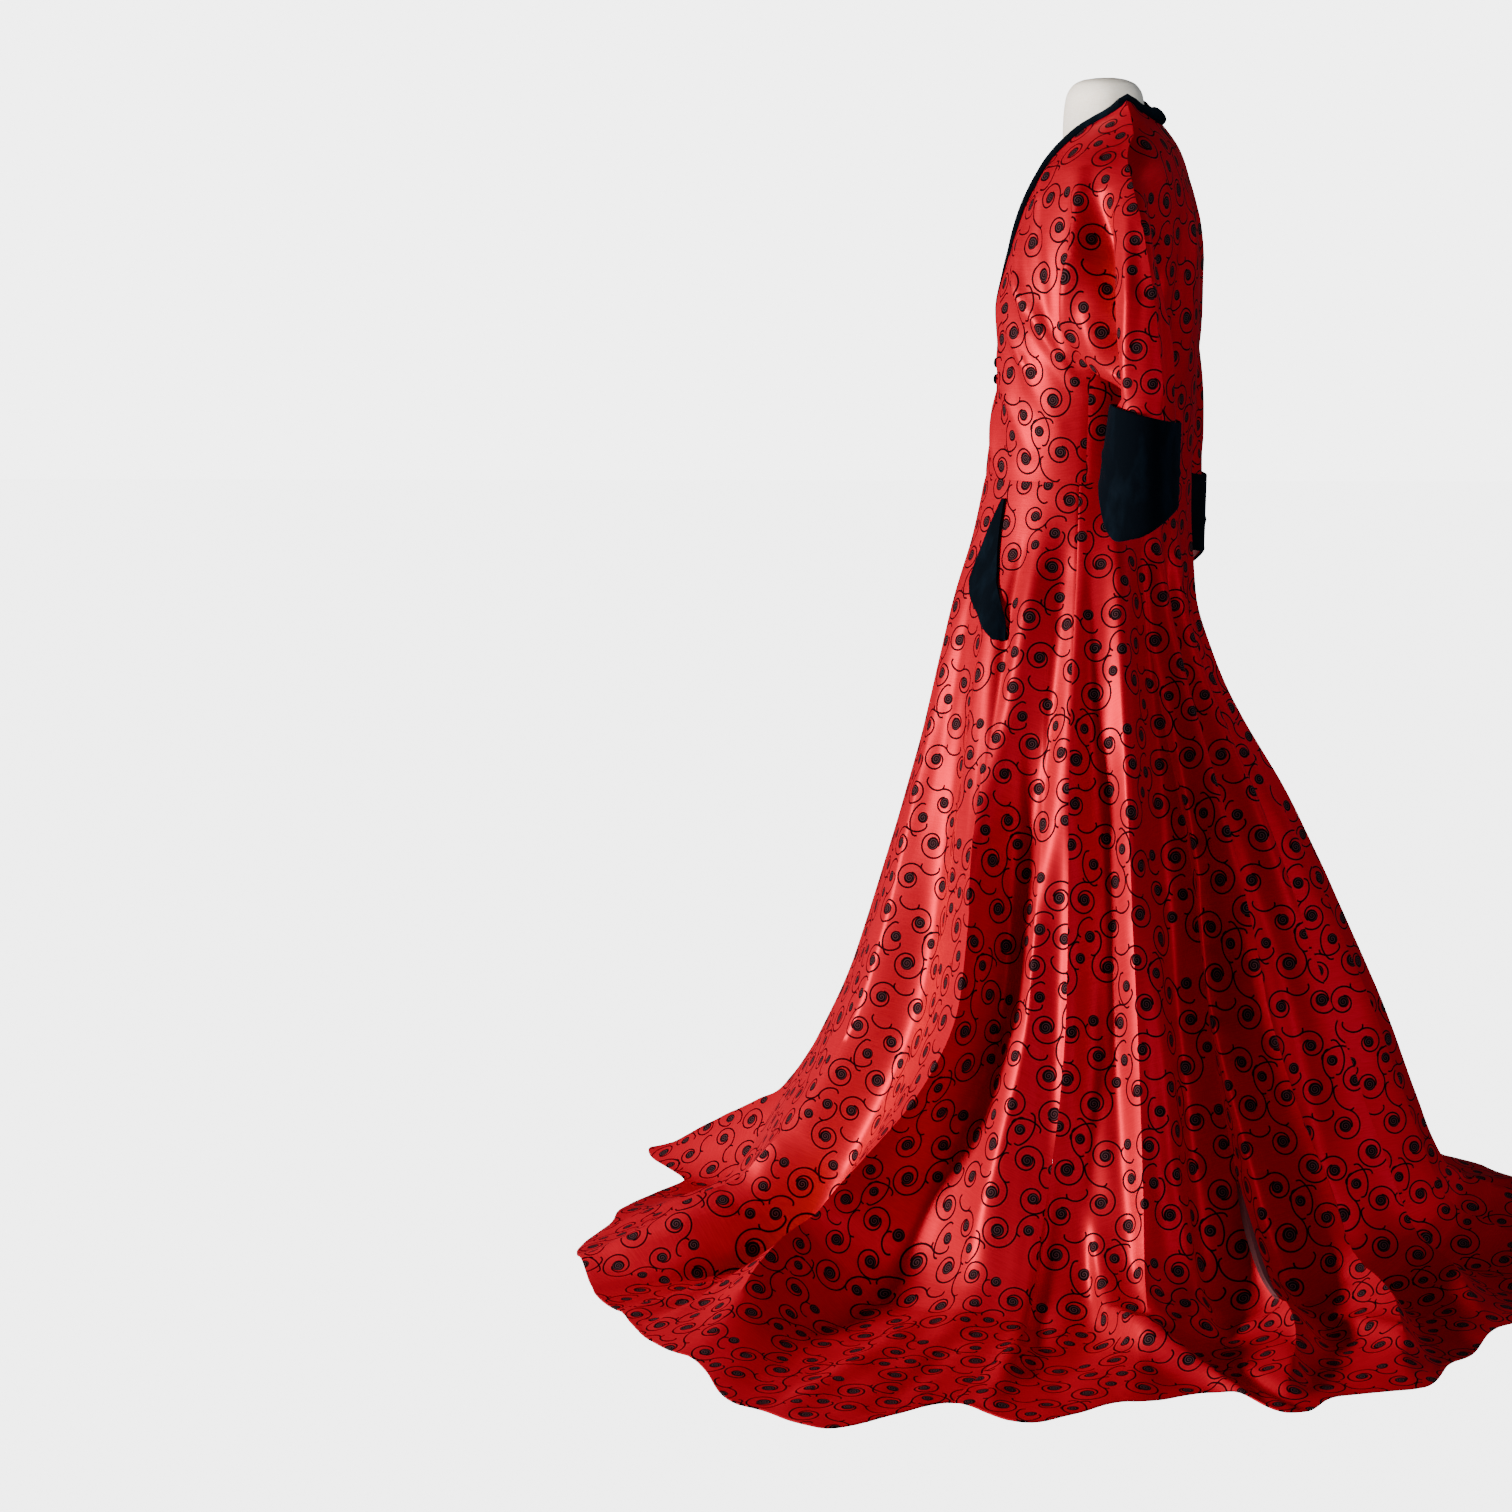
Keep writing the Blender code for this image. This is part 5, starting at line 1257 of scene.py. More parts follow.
def build_buttons(velvet):
    """Domed velvet-covered buttons on the front edge, with small gathers round their rims."""
    for name, z in BUTTON_Z.items():
        turn = direction_of(BUTTON_X, z)
        at = ring_point(turn, z)
        above = ring_point(turn, z + BUTTON_RADIUS)
        slope = math.atan2(above[1] - at[1], BUTTON_RADIUS)
        out = np.array([0.0, -math.cos(slope), -math.sin(slope)])
        centre = at + (BUTTON_HALF_THICK + SEAM_GAP) * out
        shaped = bmesh.new()
        bmesh.ops.create_uvsphere(shaped, u_segments=40, v_segments=24, radius=1.0)
        for vert in shaped.verts:
            ring = math.hypot(vert.co.x, vert.co.y)
            turn_in = math.atan2(vert.co.y, vert.co.x)
            gather = 1.0
            if vert.co.z < GATHER_TOP:
                gather += GATHER_DEPTH * math.cos(GATHERS * turn_in) * ring
            vert.co.x *= BUTTON_RADIUS * gather
            vert.co.y *= BUTTON_RADIUS * gather
            vert.co.z *= BUTTON_HALF_THICK
        shaped.transform(Matrix.Rotation(math.pi / 2 - slope, 4, "X"))
        shaped.transform(Matrix.Translation(Vector(centre)))
        mesh = bpy.data.meshes.new(f"{name}_velvet")
        shaped.to_mesh(mesh)
        shaped.free()
        mesh.materials.append(velvet)
        mesh.shade_smooth()
        piece = new_piece(f"{name}_velvet", mesh)
        on_the_gown(piece, name)


# Dress form


def form_ring(half_width, side_y, front, back, z, sides):
    ring = []
    for i in range(sides):
        turn = 2 * math.pi * i / sides
        sine, cosine = math.sin(turn), math.cos(turn)
        ahead = (side_y + front) if cosine > 0 else (back - side_y)
        ring.append((half_width * sine, side_y - ahead * cosine, z))
    return ring


def inset_ring(z, clear):
    """Ring of the torso inside the bodice, a wall and a clearance in from its outer face."""
    above = smooth_rows(BODICE_LEVELS, z + SLOPE_STEP)
    below = smooth_rows(BODICE_LEVELS, z - SLOPE_STEP)
    slope = (above - below) / (2 * SLOPE_STEP)
    half_width, side_y, front, back = smooth_rows(BODICE_LEVELS, z)
    stretch = np.sqrt(1 + slope**2) * (WALL + clear)
    sizes = half_width - stretch[0], side_y, front - stretch[2], back - stretch[3]
    return form_ring(*sizes, z, FORM_SIDES)


def build_form(linen):
    """Padded torso with its neck block, as one smooth body."""
    low_z = finer([row[0] for row in FORM_LEVELS], 4)
    rings = [form_ring(*smooth_rows(FORM_LEVELS, z), z, FORM_SIDES) for z in low_z]
    rings += [inset_ring(z, FORM_CLEAR) for z in finer(FORM_HEIGHTS, 4)]
    rings += [inset_ring(z, SHOULDER_CLEAR) for z in finer(SHOULDER_HEIGHTS, 3)]
    torso = new_piece("form_linen_cover", loft_mesh("form_linen_cover", rings, linen))
    necks_z = finer([row[0] for row in NECK_LEVELS], 6)
    necks = [form_ring(*smooth_rows(NECK_LEVELS, z), z, FORM_SIDES) for z in necks_z]
    neck = new_piece("neck_block_shape", loft_mesh("neck_block_shape", necks, linen))
    joined = torso.modifiers.new("neck block", "BOOLEAN")
    joined.operation = "UNION"
    joined.solver = "EXACT"
    joined.object = neck
    bake_down(torso)
    torso.data.set_sharp_from_angle(angle=math.radians(60))
    bpy.data.objects.remove(neck, do_unlink=True)
    on_the_gown(torso, "dress_form")


def loft_mesh(name, rings, look):
    flat = [p for ring in rings for p in ring]
    mesh = plain_mesh(name, flat, tube_faces(len(rings), len(rings[0])), looks=[look])
    outward(mesh)
    return mesh


# Materials


class Bench:
    """Puts nodes into a node tree and joins them up."""

    def __init__(self, tree):
        self.tree = tree

    def node(self, kind, values=None, **settings):
        node = self.tree.nodes.new(kind)
        for key, value in settings.items():
            setattr(node, key, value)
        for key, value in (values or {}).items():
            self.put(node.inputs[key], value)
        return node

    def put(self, socket, value):
        if isinstance(value, bpy.types.NodeSocket):
            self.tree.links.new(value, socket)
        elif value is not None:
            socket.default_value = value

    def math(self, operation, a, b=None, c=None, clamp=False):
        values = {i: v for i, v in enumerate((a, b, c)) if v is not None}
        return self.node("ShaderNodeMath", values, operation=operation, use_clamp=clamp).outputs[0]

    def vector(self, operation, a, b=None, c=None):
        values = {i: v for i, v in enumerate((a, b, c)) if v is not None}
        node = self.node("ShaderNodeVectorMath", values, operation=operation)
        return node.outputs["Value" if operation == "LENGTH" else "Vector"]

    def mix(self, share, a, b):
        node = self.node("ShaderNodeMix", data_type="RGBA")
        self.put(node.inputs["Factor"], share)
        self.put(node.inputs[6], a)
        self.put(node.inputs[7], b)
        return node.outputs[2]

    def ramp(self, value, low, high, from_low=0.0, from_high=1.0):
        values = {
            "Value": value,
            "From Min": from_low,
            "From Max": from_high,
            "To Min": low,
            "To Max": high,
        }
        return self.node("ShaderNodeMapRange", values, clamp=True).outputs[0]

    def noise(self, at, scale, detail=2.0, rough=0.5):
        values = {"Vector": at, "Scale": scale, "Detail": detail, "Roughness": rough}
        return self.node("ShaderNodeTexNoise", values).outputs[0]

    def group(self, tree, **values):
        node = self.tree.nodes.new("ShaderNodeGroup")
        node.node_tree = tree
        for key, value in values.items():
            self.put(node.inputs[key], value)
        return node.outputs


def node_group(name, inputs, outputs):
    """An empty shader node group with its named sockets, and its bench and input sockets."""
    tree = bpy.data.node_groups.new(name, "ShaderNodeTree")
    for label, kind in inputs:
        tree.interface.new_socket(label, in_out="INPUT", socket_type=f"NodeSocket{kind}")
    for label, kind in outputs:
        tree.interface.new_socket(label, in_out="OUTPUT", socket_type=f"NodeSocket{kind}")
    bench = Bench(tree)
    return tree, bench, tree.nodes.new("NodeGroupInput").outputs


def give(bench, **values):
    out = bench.tree.nodes.new("NodeGroupOutput")
    for key, value in values.items():
        bench.put(out.inputs[key], value)


# The woven pattern: its repeat, half of a line's width, the pale edge beside a line, how much
# larger a core is than listed, and the spiral thread inside it, in metres
REPEAT = (0.150, 0.140)
LINE_HALF = 0.00105
HALO = 0.0009
CORE_GROWTH = 1.10
CORE_PITCH = 0.0026
CORE_TURN = 0.159
# Scrolls, dots and the stems between scrolls, in millimetres
SCROLLS = [
    # x, y, core, reach, turns
    (22, 22, 6.4, 19.5, 1.30),
    (66, 14, 5.8, 16.5, 1.05),
    (112, 26, 6.8, 21.5, 1.40),
    (42, 62, 6.0, 18.0, 1.10),
    (88, 60, 6.5, 18.5, 1.25),
    (132, 74, 5.8, 17.5, 1.05),
    (18, 100, 6.3, 19.5, 1.35),
    (62, 106, 6.8, 20.5, 1.15),
    (108, 108, 6.1, 18.5, 1.20),
]
DOTS = [
    # x, y, core
    (143, 41, 5.6),
    (12, 60, 6.0),
    (138, 112, 5.8),
    (86, 134, 5.5),
    (42, 133, 5.8),
]
STEMS = [
    # from, to, repeats_across, repeats_up, radius, side
    (0, 3, 0, 0, 19.0, 1),
    (1, 0, 0, 0, 16.0, -1),
    (2, 5, 0, 0, 20.0, -1),
    (3, 4, 0, 0, 15.0, 1),
    (4, 7, 0, 0, 22.0, -1),
    (5, 6, 1, 0, 17.0, -1),
    (6, 7, 0, 0, 18.0, 1),
    (7, 1, 0, 1, 24.0, -1),
    (8, 5, 0, 0, 14.0, 1),
    (2, 1, 0, 0, 26.0, 1),
    (8, 2, 0, 1, 28.0, 1),
    (6, 0, 0, 1, 26.0, -1),
]
THORN_RADIUS = 5.0
THORN_SWEEP = math.radians(80)


def place_in_repeat(bench, cloth, centre):
    """Offset from a motif's centre to the nearest repeat of it, with distance and angle."""
    half = (REPEAT[0] / 2, REPEAT[1] / 2, 0.0)
    back = (-REPEAT[0] / 2, -REPEAT[1] / 2, 0.0)
    offset = bench.vector("WRAP", bench.vector("SUBTRACT", cloth, centre), half, back)
    parts = bench.node("ShaderNodeSeparateXYZ", {0: offset}).outputs
    return bench.vector("LENGTH", offset), bench.math("ARCTAN2", parts[1], parts[0])


def woven_core(bench, distance, angle, core):
    """Closely wound spiral of grey thread inside a motif's dark core."""
    wound = bench.math("MULTIPLY", angle, CORE_TURN)
    turns = bench.math("MULTIPLY_ADD", distance, 1 / CORE_PITCH, wound)
    line = bench.math("ABSOLUTE", bench.math("SUBTRACT", bench.math("FRACT", turns), 0.5))
    thread = bench.ramp(line, 0.0, 0.85, 0.26, 0.44)
    inside = bench.ramp(bench.math("SUBTRACT", core, distance), 0.0, 1.0, 0.0008, 0.0020)
    return bench.math("MULTIPLY", thread, inside)


def scroll_group():
    tree, bench, given = node_group(
        "woven_scroll",
        [("Cloth", "Vector"), ("Centre", "Vector"), ("Hand", "Float"), ("Phase", "Float"),
         ("Core", "Float"), ("Pitch", "Float"), ("Turns", "Float")],
        [("Distance", "Float"), ("Thread", "Float")],
    )
    distance, angle = place_in_repeat(bench, given["Cloth"], given["Centre"])
    swept = bench.math("MULTIPLY", bench.math("MULTIPLY", angle, 1 / (2 * math.pi)), given["Hand"])
    part = bench.math("FRACT", bench.math("ADD", swept, given["Phase"]))
    out = bench.math("SUBTRACT", distance, given["Core"])
    wound = bench.math("SUBTRACT", bench.math("DIVIDE", out, given["Pitch"]), part)
    whole = bench.math("ROUND", wound)
    away = bench.math("ABSOLUTE", bench.math("SUBTRACT", wound, whole))
    away = bench.math("MULTIPLY", away, given["Pitch"])
    half = bench.math("MULTIPLY", given["Turns"], 0.5)
    along = bench.math("ABSOLUTE", bench.math("SUBTRACT", bench.math("ADD", part, whole), half))
    missing = bench.math("GREATER_THAN", along, half)
    line = bench.math("ADD", away, missing)
    nearest = bench.math("MINIMUM", line, bench.math("ADD", out, LINE_HALF))
    thread = woven_core(bench, distance, angle, given["Core"])
    give(bench, Distance=nearest, Thread=thread)
    return tree


def dot_group():
    tree, bench, given = node_group(
        "woven_dot",
        [("Cloth", "Vector"), ("Centre", "Vector"), ("Core", "Float")],
        [("Distance", "Float"), ("Thread", "Float")],
    )
    distance, angle = place_in_repeat(bench, given["Cloth"], given["Centre"])
    out = bench.math("ADD", bench.math("SUBTRACT", distance, given["Core"]), LINE_HALF)
    give(bench, Distance=out, Thread=woven_core(bench, distance, angle, given["Core"]))
    return tree


def stem_group():
    tree, bench, given = node_group(
        "woven_stem",
        [("Cloth", "Vector"), ("Centre", "Vector"), ("Radius", "Float"), ("Middle", "Float"),
         ("Half", "Float")],
        [("Distance", "Float")],
    )
    distance, angle = place_in_repeat(bench, given["Cloth"], given["Centre"])
    away = bench.math("ABSOLUTE", bench.math("SUBTRACT", distance, given["Radius"]))
    offset = bench.math("SUBTRACT", angle, given["Middle"])
    offset = bench.math("ABSOLUTE", bench.math("WRAP", offset, math.pi, -math.pi))
    missing = bench.math("GREATER_THAN", offset, given["Half"])
    give(bench, Distance=bench.math("ADD", away, missing))
    return tree


def stem_arc(start, start_reach, end, end_reach, radius, side):
    """Arc that touches two loops from outside: its centre and the angles of its two ends."""
    gap = end - start
    length = np.linalg.norm(gap)
    near, far = start_reach + radius, end_reach + radius
    along = (near**2 - far**2 + length**2) / (2 * length)
    across = math.sqrt(max(near**2 - along**2, 0.0)) * side
    ahead = gap / length
    centre = start + ahead * along + np.array([-ahead[1], ahead[0]]) * across
    first = math.atan2(*(start - centre)[::-1])
    last = math.atan2(*(end - centre)[::-1])
    sweep = (last - first + math.pi) % (2 * math.pi) - math.pi
    return centre, first, sweep


def scroll_cloth_group():
    """The whole woven pattern: masks of its black lines, their pale edge and the core's thread."""
    tree, bench, given = node_group(
        "scroll_pattern",
        [("Cloth", "Vector")],
        [("Black", "Float"), ("Halo", "Float"), ("Thread", "Float")],
    )
    scroll, dot, stem = scroll_group(), dot_group(), stem_group()
    cloth = given["Cloth"]
    nearest, thread = None, None

    def closer(value):
        nonlocal nearest
        nearest = value if nearest is None else bench.math("MINIMUM", nearest, value)

    def brighter(value):
        nonlocal thread
        thread = value if thread is None else bench.math("MAXIMUM", thread, value)

    def arc(centre, radius, first, sweep):
        made = bench.group(
            stem, Cloth=cloth, Centre=(centre[0] / 1000, centre[1] / 1000, 0.0),
            Radius=radius / 1000, Middle=first + sweep / 2, Half=abs(sweep) / 2,
        )
        closer(made["Distance"])

    ends = {}
    for a, b, across, up, radius, side in STEMS:
        start = np.array(SCROLLS[a][:2], float)
        shift = np.array([across * REPEAT[0], up * REPEAT[1]]) * 1000
        end = np.array(SCROLLS[b][:2], float) + shift
        centre, first, sweep = stem_arc(start, SCROLLS[a][3], end, SCROLLS[b][3], radius, side)
        arc(centre, radius, first, sweep)
        for angle, back in ((first, -1.0), (first + sweep, 1.0)):
            out = np.array([math.cos(angle), math.sin(angle)])
            thorn = back * math.copysign(THORN_SWEEP, sweep)
            arc(centre + out * radius - out * THORN_RADIUS, THORN_RADIUS, angle, thorn)
        ends.setdefault(a, (math.atan2(*(centre - start)[::-1]), -math.copysign(1.0, sweep)))
    for i, (x, y, core, reach, turns) in enumerate(SCROLLS):
        leave, hand = ends[i]
        made = bench.group(
            scroll, Cloth=cloth, Centre=(x / 1000, y / 1000, 0.0), Hand=hand,
            Phase=(turns - hand * leave / (2 * math.pi)) % 1.0, Core=core * CORE_GROWTH / 1000,
            Pitch=(reach - core * CORE_GROWTH) / turns / 1000, Turns=turns,
        )
        closer(made["Distance"])
        brighter(made["Thread"])
    for x, y, core in DOTS:
        radius = core * CORE_GROWTH / 1000
        made = bench.group(dot, Cloth=cloth, Centre=(x / 1000, y / 1000, 0.0), Core=radius)
        closer(made["Distance"])
        brighter(made["Thread"])
    black = bench.ramp(nearest, 1.0, 0.0, LINE_HALF - 0.0003, LINE_HALF + 0.0003)
    edge = bench.ramp(nearest, 1.0, 0.0, LINE_HALF, LINE_HALF + HALO)
    give(bench, Black=black, Halo=bench.math("SUBTRACT", edge, black, clamp=True), Thread=thread)
    return tree


def slub_group():
    """Crosswise slubs and fine ribs of the satin, for its colour and its relief."""
    tree, bench, given = node_group(
        "satin_slub",
        [("Cloth", "Vector")],
        [("Slub", "Float"), ("Rib", "Float")],
    )
    long_way = bench.vector("MULTIPLY", given["Cloth"], (45.0, 620.0, 1.0))
    slub = bench.noise(long_way, 1.0, 2.0, 0.55)
    rib_way = bench.vector("MULTIPLY", given["Cloth"], (260.0, 1500.0, 1.0))
    rib = bench.noise(rib_way, 1.0, 1.0, 0.5)
    give(bench, Slub=slub, Rib=rib)
    return tree


def new_material(name):
    made = bpy.data.materials.new(name)
    made.use_nodes = True
    bench = Bench(made.node_tree)
    return made, bench, made.node_tree.nodes["Principled BSDF"]


def satin_material(pattern, slub):
    made, bench, shader = new_material("red_scroll_satin")
    cloth = bench.node("ShaderNodeUVMap", uv_map="flat_cut").outputs[0]
    masks = bench.group(pattern, Cloth=cloth)
    grain = bench.group(slub, Cloth=cloth)
    patches = bench.noise(cloth, 9.0, 2.0, 0.5)
    red = bench.mix(grain["Slub"], (0.470, 0.0030, 0.0140, 1.0), (0.700, 0.0056, 0.0260, 1.0))
    red = bench.mix(bench.ramp(patches, 0.0, 0.30, 0.35, 0.75), red, (0.440, 0.0030, 0.0160, 1.0))
    red = bench.mix(bench.math("MULTIPLY", masks["Halo"], 0.25), red, (0.700, 0.100, 0.090, 1.0))
    black = bench.mix(masks["Thread"], (0.0034, 0.0012, 0.0022, 1.0), (0.120, 0.050, 0.056, 1.0))
    colour = bench.mix(masks["Black"], red, black)
    rough = bench.ramp(masks["Black"], 0.45, 0.58)
    relief = bench.math("ADD", bench.math("MULTIPLY", grain["Slub"], 0.6), grain["Rib"])
    bump = bench.node("ShaderNodeBump", {"Height": relief, "Strength": 0.16, "Distance": 0.0004})
    bench.put(shader.inputs["Base Color"], colour)
    bench.put(shader.inputs["Roughness"], rough)
    bench.put(shader.inputs["Normal"], bump.outputs[0])
    bench.put(shader.inputs["Metallic"], bench.ramp(masks["Black"], 0.34, 0.0))
    shader.inputs["Specular IOR Level"].default_value = 0.05
    shader.inputs["Specular Tint"].default_value = (1.0, 0.10, 0.13, 1.0)
    return made


def reverse_material():
    """The dull back of the satin, seen at the hem and inside the sleeves."""
    made, bench, shader = new_material("satin_reverse")
    cloth = bench.node("ShaderNodeUVMap", uv_map="flat_cut").outputs[0]
    streaks = bench.noise(bench.vector("MULTIPLY", cloth, (60.0, 500.0, 1.0)), 1.0, 2.0)
    bench.put(
        shader.inputs["Base Color"],
        bench.mix(streaks, (0.060, 0.003, 0.006, 1.0), (0.130, 0.006, 0.010, 1.0)),
    )
    bump = bench.node("ShaderNodeBump", {"Height": streaks, "Strength": 0.2, "Distance": 0.0004})
    bench.put(shader.inputs["Normal"], bump.outputs[0])
    shader.inputs["Roughness"].default_value = 0.75
    return made


def velvet_material():
    made, bench, shader = new_material("black_velvet_pile")
    at = bench.node("ShaderNodeTexCoord").outputs["Object"]
    brushed = bench.noise(bench.vector("MULTIPLY", at, (38.0, 38.0, 16.0)), 1.0, 3.0, 0.6)
    pile = bench.noise(at, 1600.0, 2.0, 0.6)
    lay = bench.ramp(brushed, 0.0, 1.0, 0.50, 0.72)
    colour = bench.mix(lay, (0.0002, 0.0018, 0.0042, 1.0), (0.0006, 0.0050, 0.0105, 1.0))
    bench.put(shader.inputs["Base Color"], colour)
    bench.put(shader.inputs["Roughness"], bench.ramp(lay, 0.92, 0.80))
    relief = bench.math("ADD", bench.math("MULTIPLY", brushed, 1.6), bench.math("MULTIPLY", pile, 0.5))
    bump = bench.node("ShaderNodeBump", {"Height": relief, "Strength": 0.30, "Distance": 0.0012})
    bench.put(shader.inputs["Normal"], bump.outputs[0])
    shader.inputs["Specular IOR Level"].default_value = 0.06
    shader.inputs["Sheen Weight"].default_value = 0.06
    shader.inputs["Sheen Roughness"].default_value = 0.40
    shader.inputs["Sheen Tint"].default_value = (0.06, 0.34, 0.60, 1.0)
    return made


def linen_material():
    made, bench, shader = new_material("form_linen_cloth")
    at = bench.node("ShaderNodeTexCoord").outputs["Object"]
    warp = bench.noise(bench.vector("MULTIPLY", at, (1500.0, 1500.0, 160.0)), 1.0, 1.0)
    weft = bench.noise(bench.vector("MULTIPLY", at, (160.0, 160.0, 1500.0)), 1.0, 1.0)
    weave = bench.math("ADD", warp, weft)
    age = bench.noise(at, 22.0, 3.0, 0.6)
    light = bench.ramp(weave, 0.0, 1.0, 0.7, 1.3)
    colour = bench.mix(light, (0.88, 0.77, 0.62, 1.0), (0.97, 0.90, 0.79, 1.0))
    colour = bench.mix(bench.ramp(age, 0.0, 0.35, 0.45, 0.75), colour, (0.84, 0.74, 0.60, 1.0))
    bench.put(shader.inputs["Base Color"], colour)
    bump = bench.node("ShaderNodeBump", {"Height": weave, "Strength": 0.25, "Distance": 0.0005})
    bench.put(shader.inputs["Normal"], bump.outputs[0])
    shader.inputs["Roughness"].default_value = 0.88
    return made


def metal_material(name, dark, light, roughness, metallic):
    made, bench, shader = new_material(name)
    at = bench.node("ShaderNodeTexCoord").outputs["Object"]
    drawn = bench.noise(bench.vector("MULTIPLY", at, (900.0, 900.0, 20.0)), 1.0, 2.0)
    wear = bench.noise(at, 30.0, 3.0, 0.6)
    bench.put(shader.inputs["Base Color"], bench.mix(wear, dark, light))
    bench.put(shader.inputs["Roughness"], bench.ramp(drawn, roughness - 0.08, roughness + 0.10))
    shader.inputs["Metallic"].default_value = metallic
    return made


# Camera and lights, in the frame of the photo: to its right, towards it and up
CAMERA_TURN = math.radians(97.0)
CAMERA_DISTANCE = 4.0
CAMERA_HEIGHT = 1.1767
CAMERA_YAW = math.radians(5.698)
CAMERA_PITCH = math.radians(8.711)
CAMERA_ROLL = math.radians(-0.845)
FOCAL_SHARE = 3429.5 / 1512.0
SENSOR = 36.0
# Brightness of the background that the camera sees, and of the dim room that lights the cloth
PAPER = 4.9
ROOM = 0.06
# Share of the background's brightness that the floor shows to the camera
FLOOR_GLOW = 0.94
FLOOR_HALF = 12.0
FLOOR_Z = -0.0005
PHOTO_RIGHT = np.array([math.cos(CAMERA_TURN), math.sin(CAMERA_TURN), 0.0])
PHOTO_NEAR = np.array([math.sin(CAMERA_TURN), -math.cos(CAMERA_TURN), 0.0])
UP = np.array([0.0, 0.0, 1.0])
GOWN_MIDDLE = 0.65 * UP
LIGHTS = [
    # name, right, near, up, distance, size, power, colour
    ("key", -0.92, 0.32, 0.13, 3.6, 0.7, 215.0, (1.0, 0.96, 0.97)),
    ("fill", 0.75, 0.95, 0.12, 3.0, 2.5, 42.0, (0.80, 0.90, 1.0)),
    ("rim", 0.95, -0.25, 0.45, 3.0, 2.0, 10.0, (0.70, 0.82, 1.0)),
]
# A narrow beam for the pale neck block only
BEAM_PLACE = PHOTO_NEAR * 2.0 - PHOTO_RIGHT * 0.9 + UP * 1.5
BEAM_TARGET = (0.0, 0.012, 1.335)
BEAM_ANGLE = math.radians(4.0)
BEAM_POWER = 300.0


def build_stage():
    """Plain pale floor that looks as even to the camera as the photo's background."""
    made, bench, shader = new_material("pale_floor")
    shader.inputs["Base Color"].default_value = (0.30, 0.30, 0.30, 1.0)
    shader.inputs["Roughness"].default_value = 0.95
    glow = bench.node("ShaderNodeEmission", {"Color": (1.0, 1.0, 1.0, 1.0), "Strength": PAPER})
    seen = bench.node("ShaderNodeLightPath").outputs["Is Camera Ray"]
    share = bench.math("MULTIPLY", seen, FLOOR_GLOW)
    both = bench.node("ShaderNodeMixShader", {0: share, 1: shader.outputs[0], 2: glow.outputs[0]})
    out = made.node_tree.nodes["Material Output"]
    bench.put(out.inputs["Surface"], both.outputs[0])
    mesh = bpy.data.meshes.new("floor")
    signs = ((-1, -1), (1, -1), (1, 1), (-1, 1))
    corners = [(x * FLOOR_HALF, y * FLOOR_HALF, FLOOR_Z) for x, y in signs]
    mesh.from_pydata(corners, [], [(0, 1, 2, 3)])
    mesh.materials.append(made)
    new_piece("floor", mesh)


def hang_light(data, place, target):
    light = bpy.data.objects.new(data.name, data)
    bpy.context.scene.collection.objects.link(light)
    light.location = place
    way = Vector(target) - Vector(place)
    light.rotation_euler = way.to_track_quat("-Z", "Y").to_euler()


def build_lights():
    for name, right, near, up, distance, size, power, colour in LIGHTS:
        data = bpy.data.lights.new(name, "AREA")
        data.shape = "DISK"
        data.size = size
        data.energy = power
        data.color = colour
        way = right * PHOTO_RIGHT + near * PHOTO_NEAR + up * UP
        hang_light(data, GOWN_MIDDLE + way * distance, GOWN_MIDDLE)
    beam = bpy.data.lights.new("neck", "SPOT")
    beam.spot_size = BEAM_ANGLE
    beam.spot_blend = 0.6
    beam.energy = BEAM_POWER
    beam.shadow_soft_size = 0.05
    hang_light(beam, BEAM_PLACE, BEAM_TARGET)
    build_room()


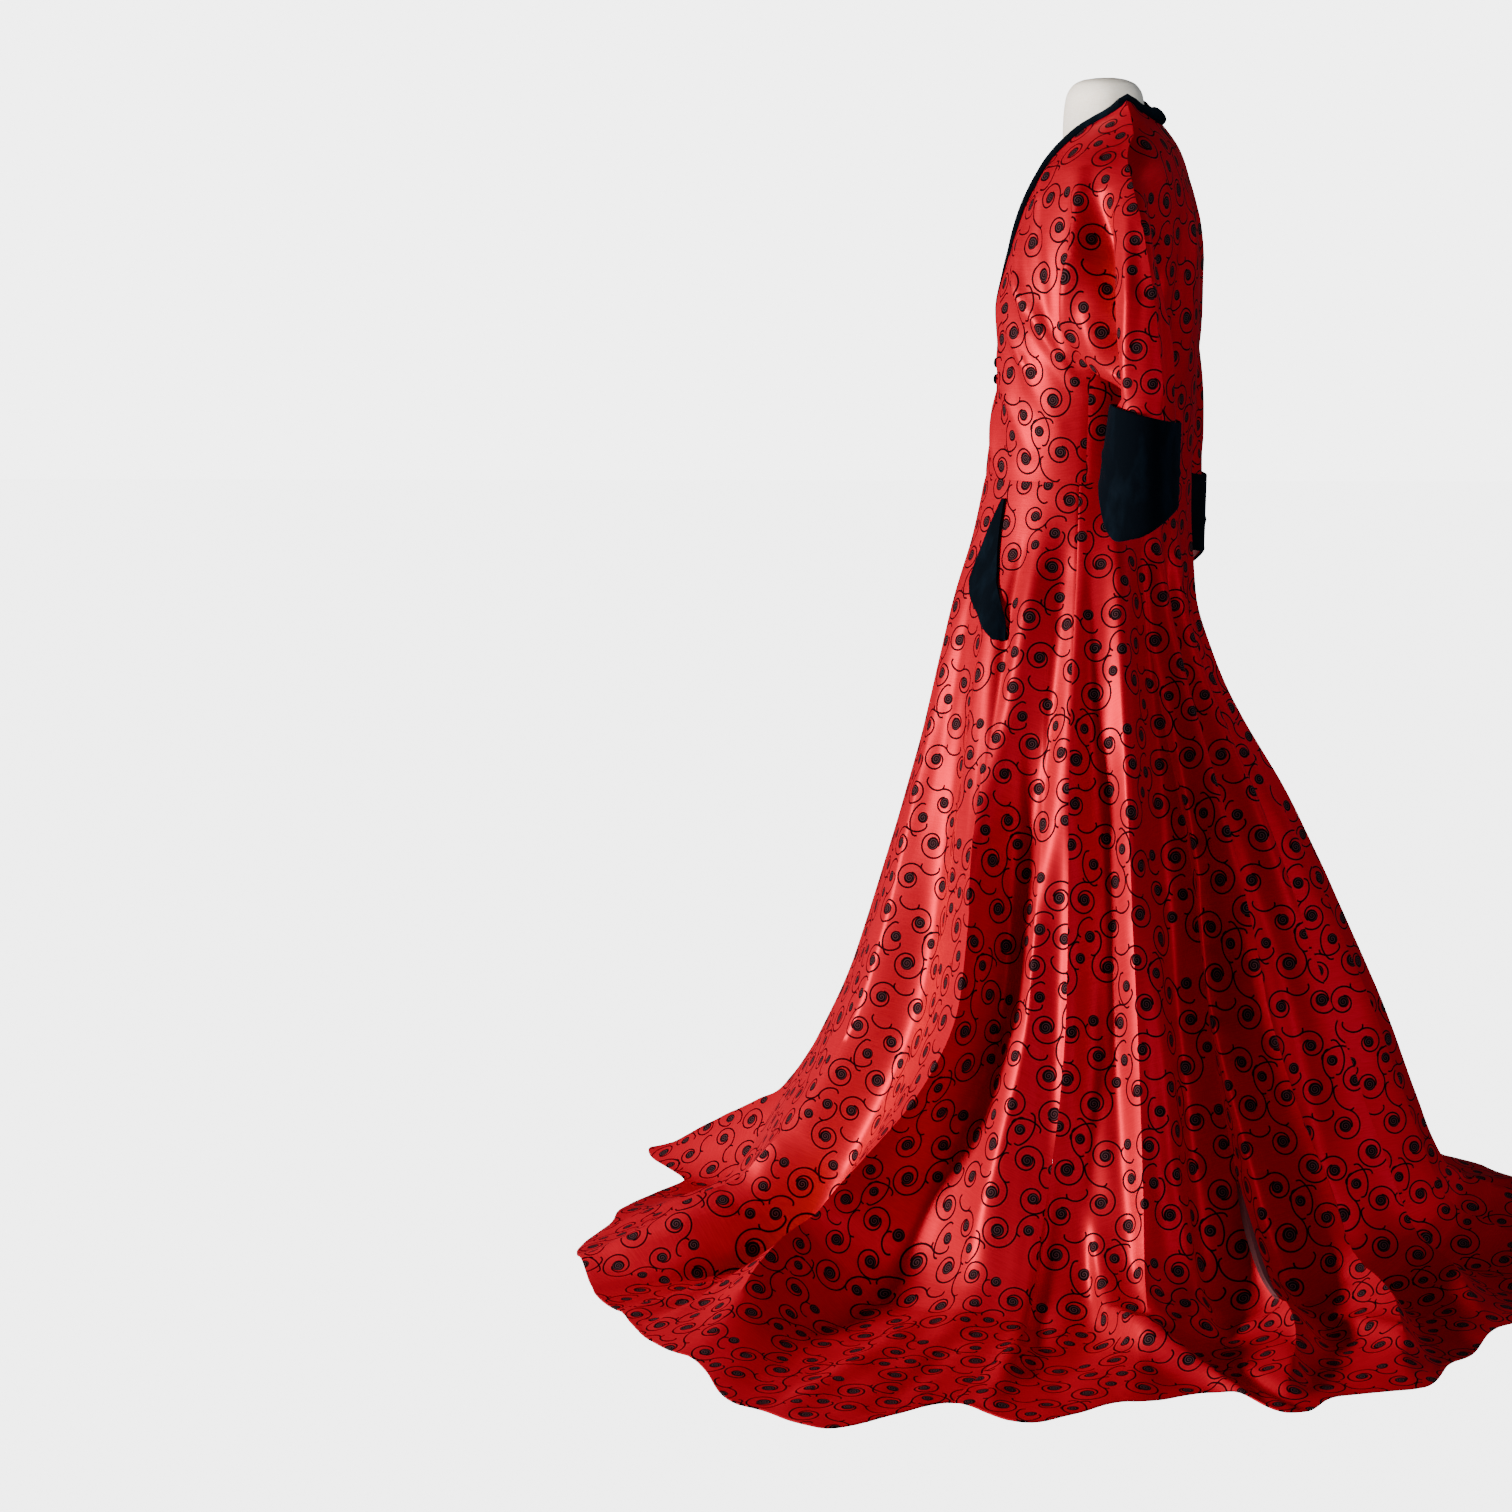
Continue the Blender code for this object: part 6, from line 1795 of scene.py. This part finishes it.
def build_room():
    """World that the camera sees as plain paper and that lights the cloth only dimly."""
    world = bpy.data.worlds.new("studio")
    world.use_nodes = True
    bench = Bench(world.node_tree)
    room = world.node_tree.nodes["Background"]
    room.inputs["Color"].default_value = (1.0, 1.0, 1.0, 1.0)
    room.inputs["Strength"].default_value = ROOM
    paper = bench.node("ShaderNodeBackground", {"Color": (1.0, 1.0, 1.0, 1.0), "Strength": PAPER})
    seen = bench.node("ShaderNodeLightPath").outputs["Is Camera Ray"]
    both = bench.node("ShaderNodeMixShader", {0: seen, 1: room.outputs[0], 2: paper.outputs[0]})
    bench.put(world.node_tree.nodes["World Output"].inputs["Surface"], both.outputs[0])
    bpy.context.scene.world = world


def build_camera():
    data = bpy.data.cameras.new("camera")
    data.sensor_width = SENSOR
    data.sensor_fit = "HORIZONTAL"
    data.lens = FOCAL_SHARE * SENSOR
    data.clip_end = 60.0
    camera = bpy.data.objects.new("camera", data)
    bpy.context.scene.collection.objects.link(camera)
    place = PHOTO_NEAR * CAMERA_DISTANCE + UP * CAMERA_HEIGHT
    heading = CAMERA_TURN + CAMERA_YAW
    ahead = np.array([-math.sin(heading), math.cos(heading), 0.0])
    right = np.array([math.cos(heading), math.sin(heading), 0.0])
    forward = math.cos(CAMERA_PITCH) * ahead - math.sin(CAMERA_PITCH) * UP
    above = math.cos(CAMERA_PITCH) * UP + math.sin(CAMERA_PITCH) * ahead
    right, above = (
        math.cos(CAMERA_ROLL) * right + math.sin(CAMERA_ROLL) * above,
        math.cos(CAMERA_ROLL) * above - math.sin(CAMERA_ROLL) * right,
    )
    turn = Matrix([[*row] for row in np.stack([right, above, -forward], axis=1)])
    camera.matrix_world = Matrix.Translation(Vector(place)) @ turn.to_4x4()
    bpy.context.scene.camera = camera


def main():
    build_camera()
    build_stage()
    build_lights()
    satin = satin_material(scroll_cloth_group(), slub_group())
    reverse = reverse_material()
    velvet = velvet_material()
    skirt, skirts = build_skirt([satin, reverse])
    neckline, bodice = build_bodice([satin, reverse])
    trims = build_cuffs(velvet)
    trims["neck_band"] = build_neck_band(neckline, velvet)
    build_buttons(velvet)
    trims.update(build_pocket_flaps(skirt, velvet))
    build_form(linen_material())
    pole = metal_material("pole_steel", (0.22, 0.22, 0.23, 1.0), (0.36, 0.36, 0.37, 1.0), 0.34, 1.0)
    base = metal_material("base_paint", (0.012, 0.012, 0.012, 1.0), (0.03, 0.03, 0.03, 1.0), 0.6, 0.0)
    for node, look in (("stand_pole", pole), ("stand_base", base)):
        bpy.data.objects[node].material_slots[0].material = look


main()
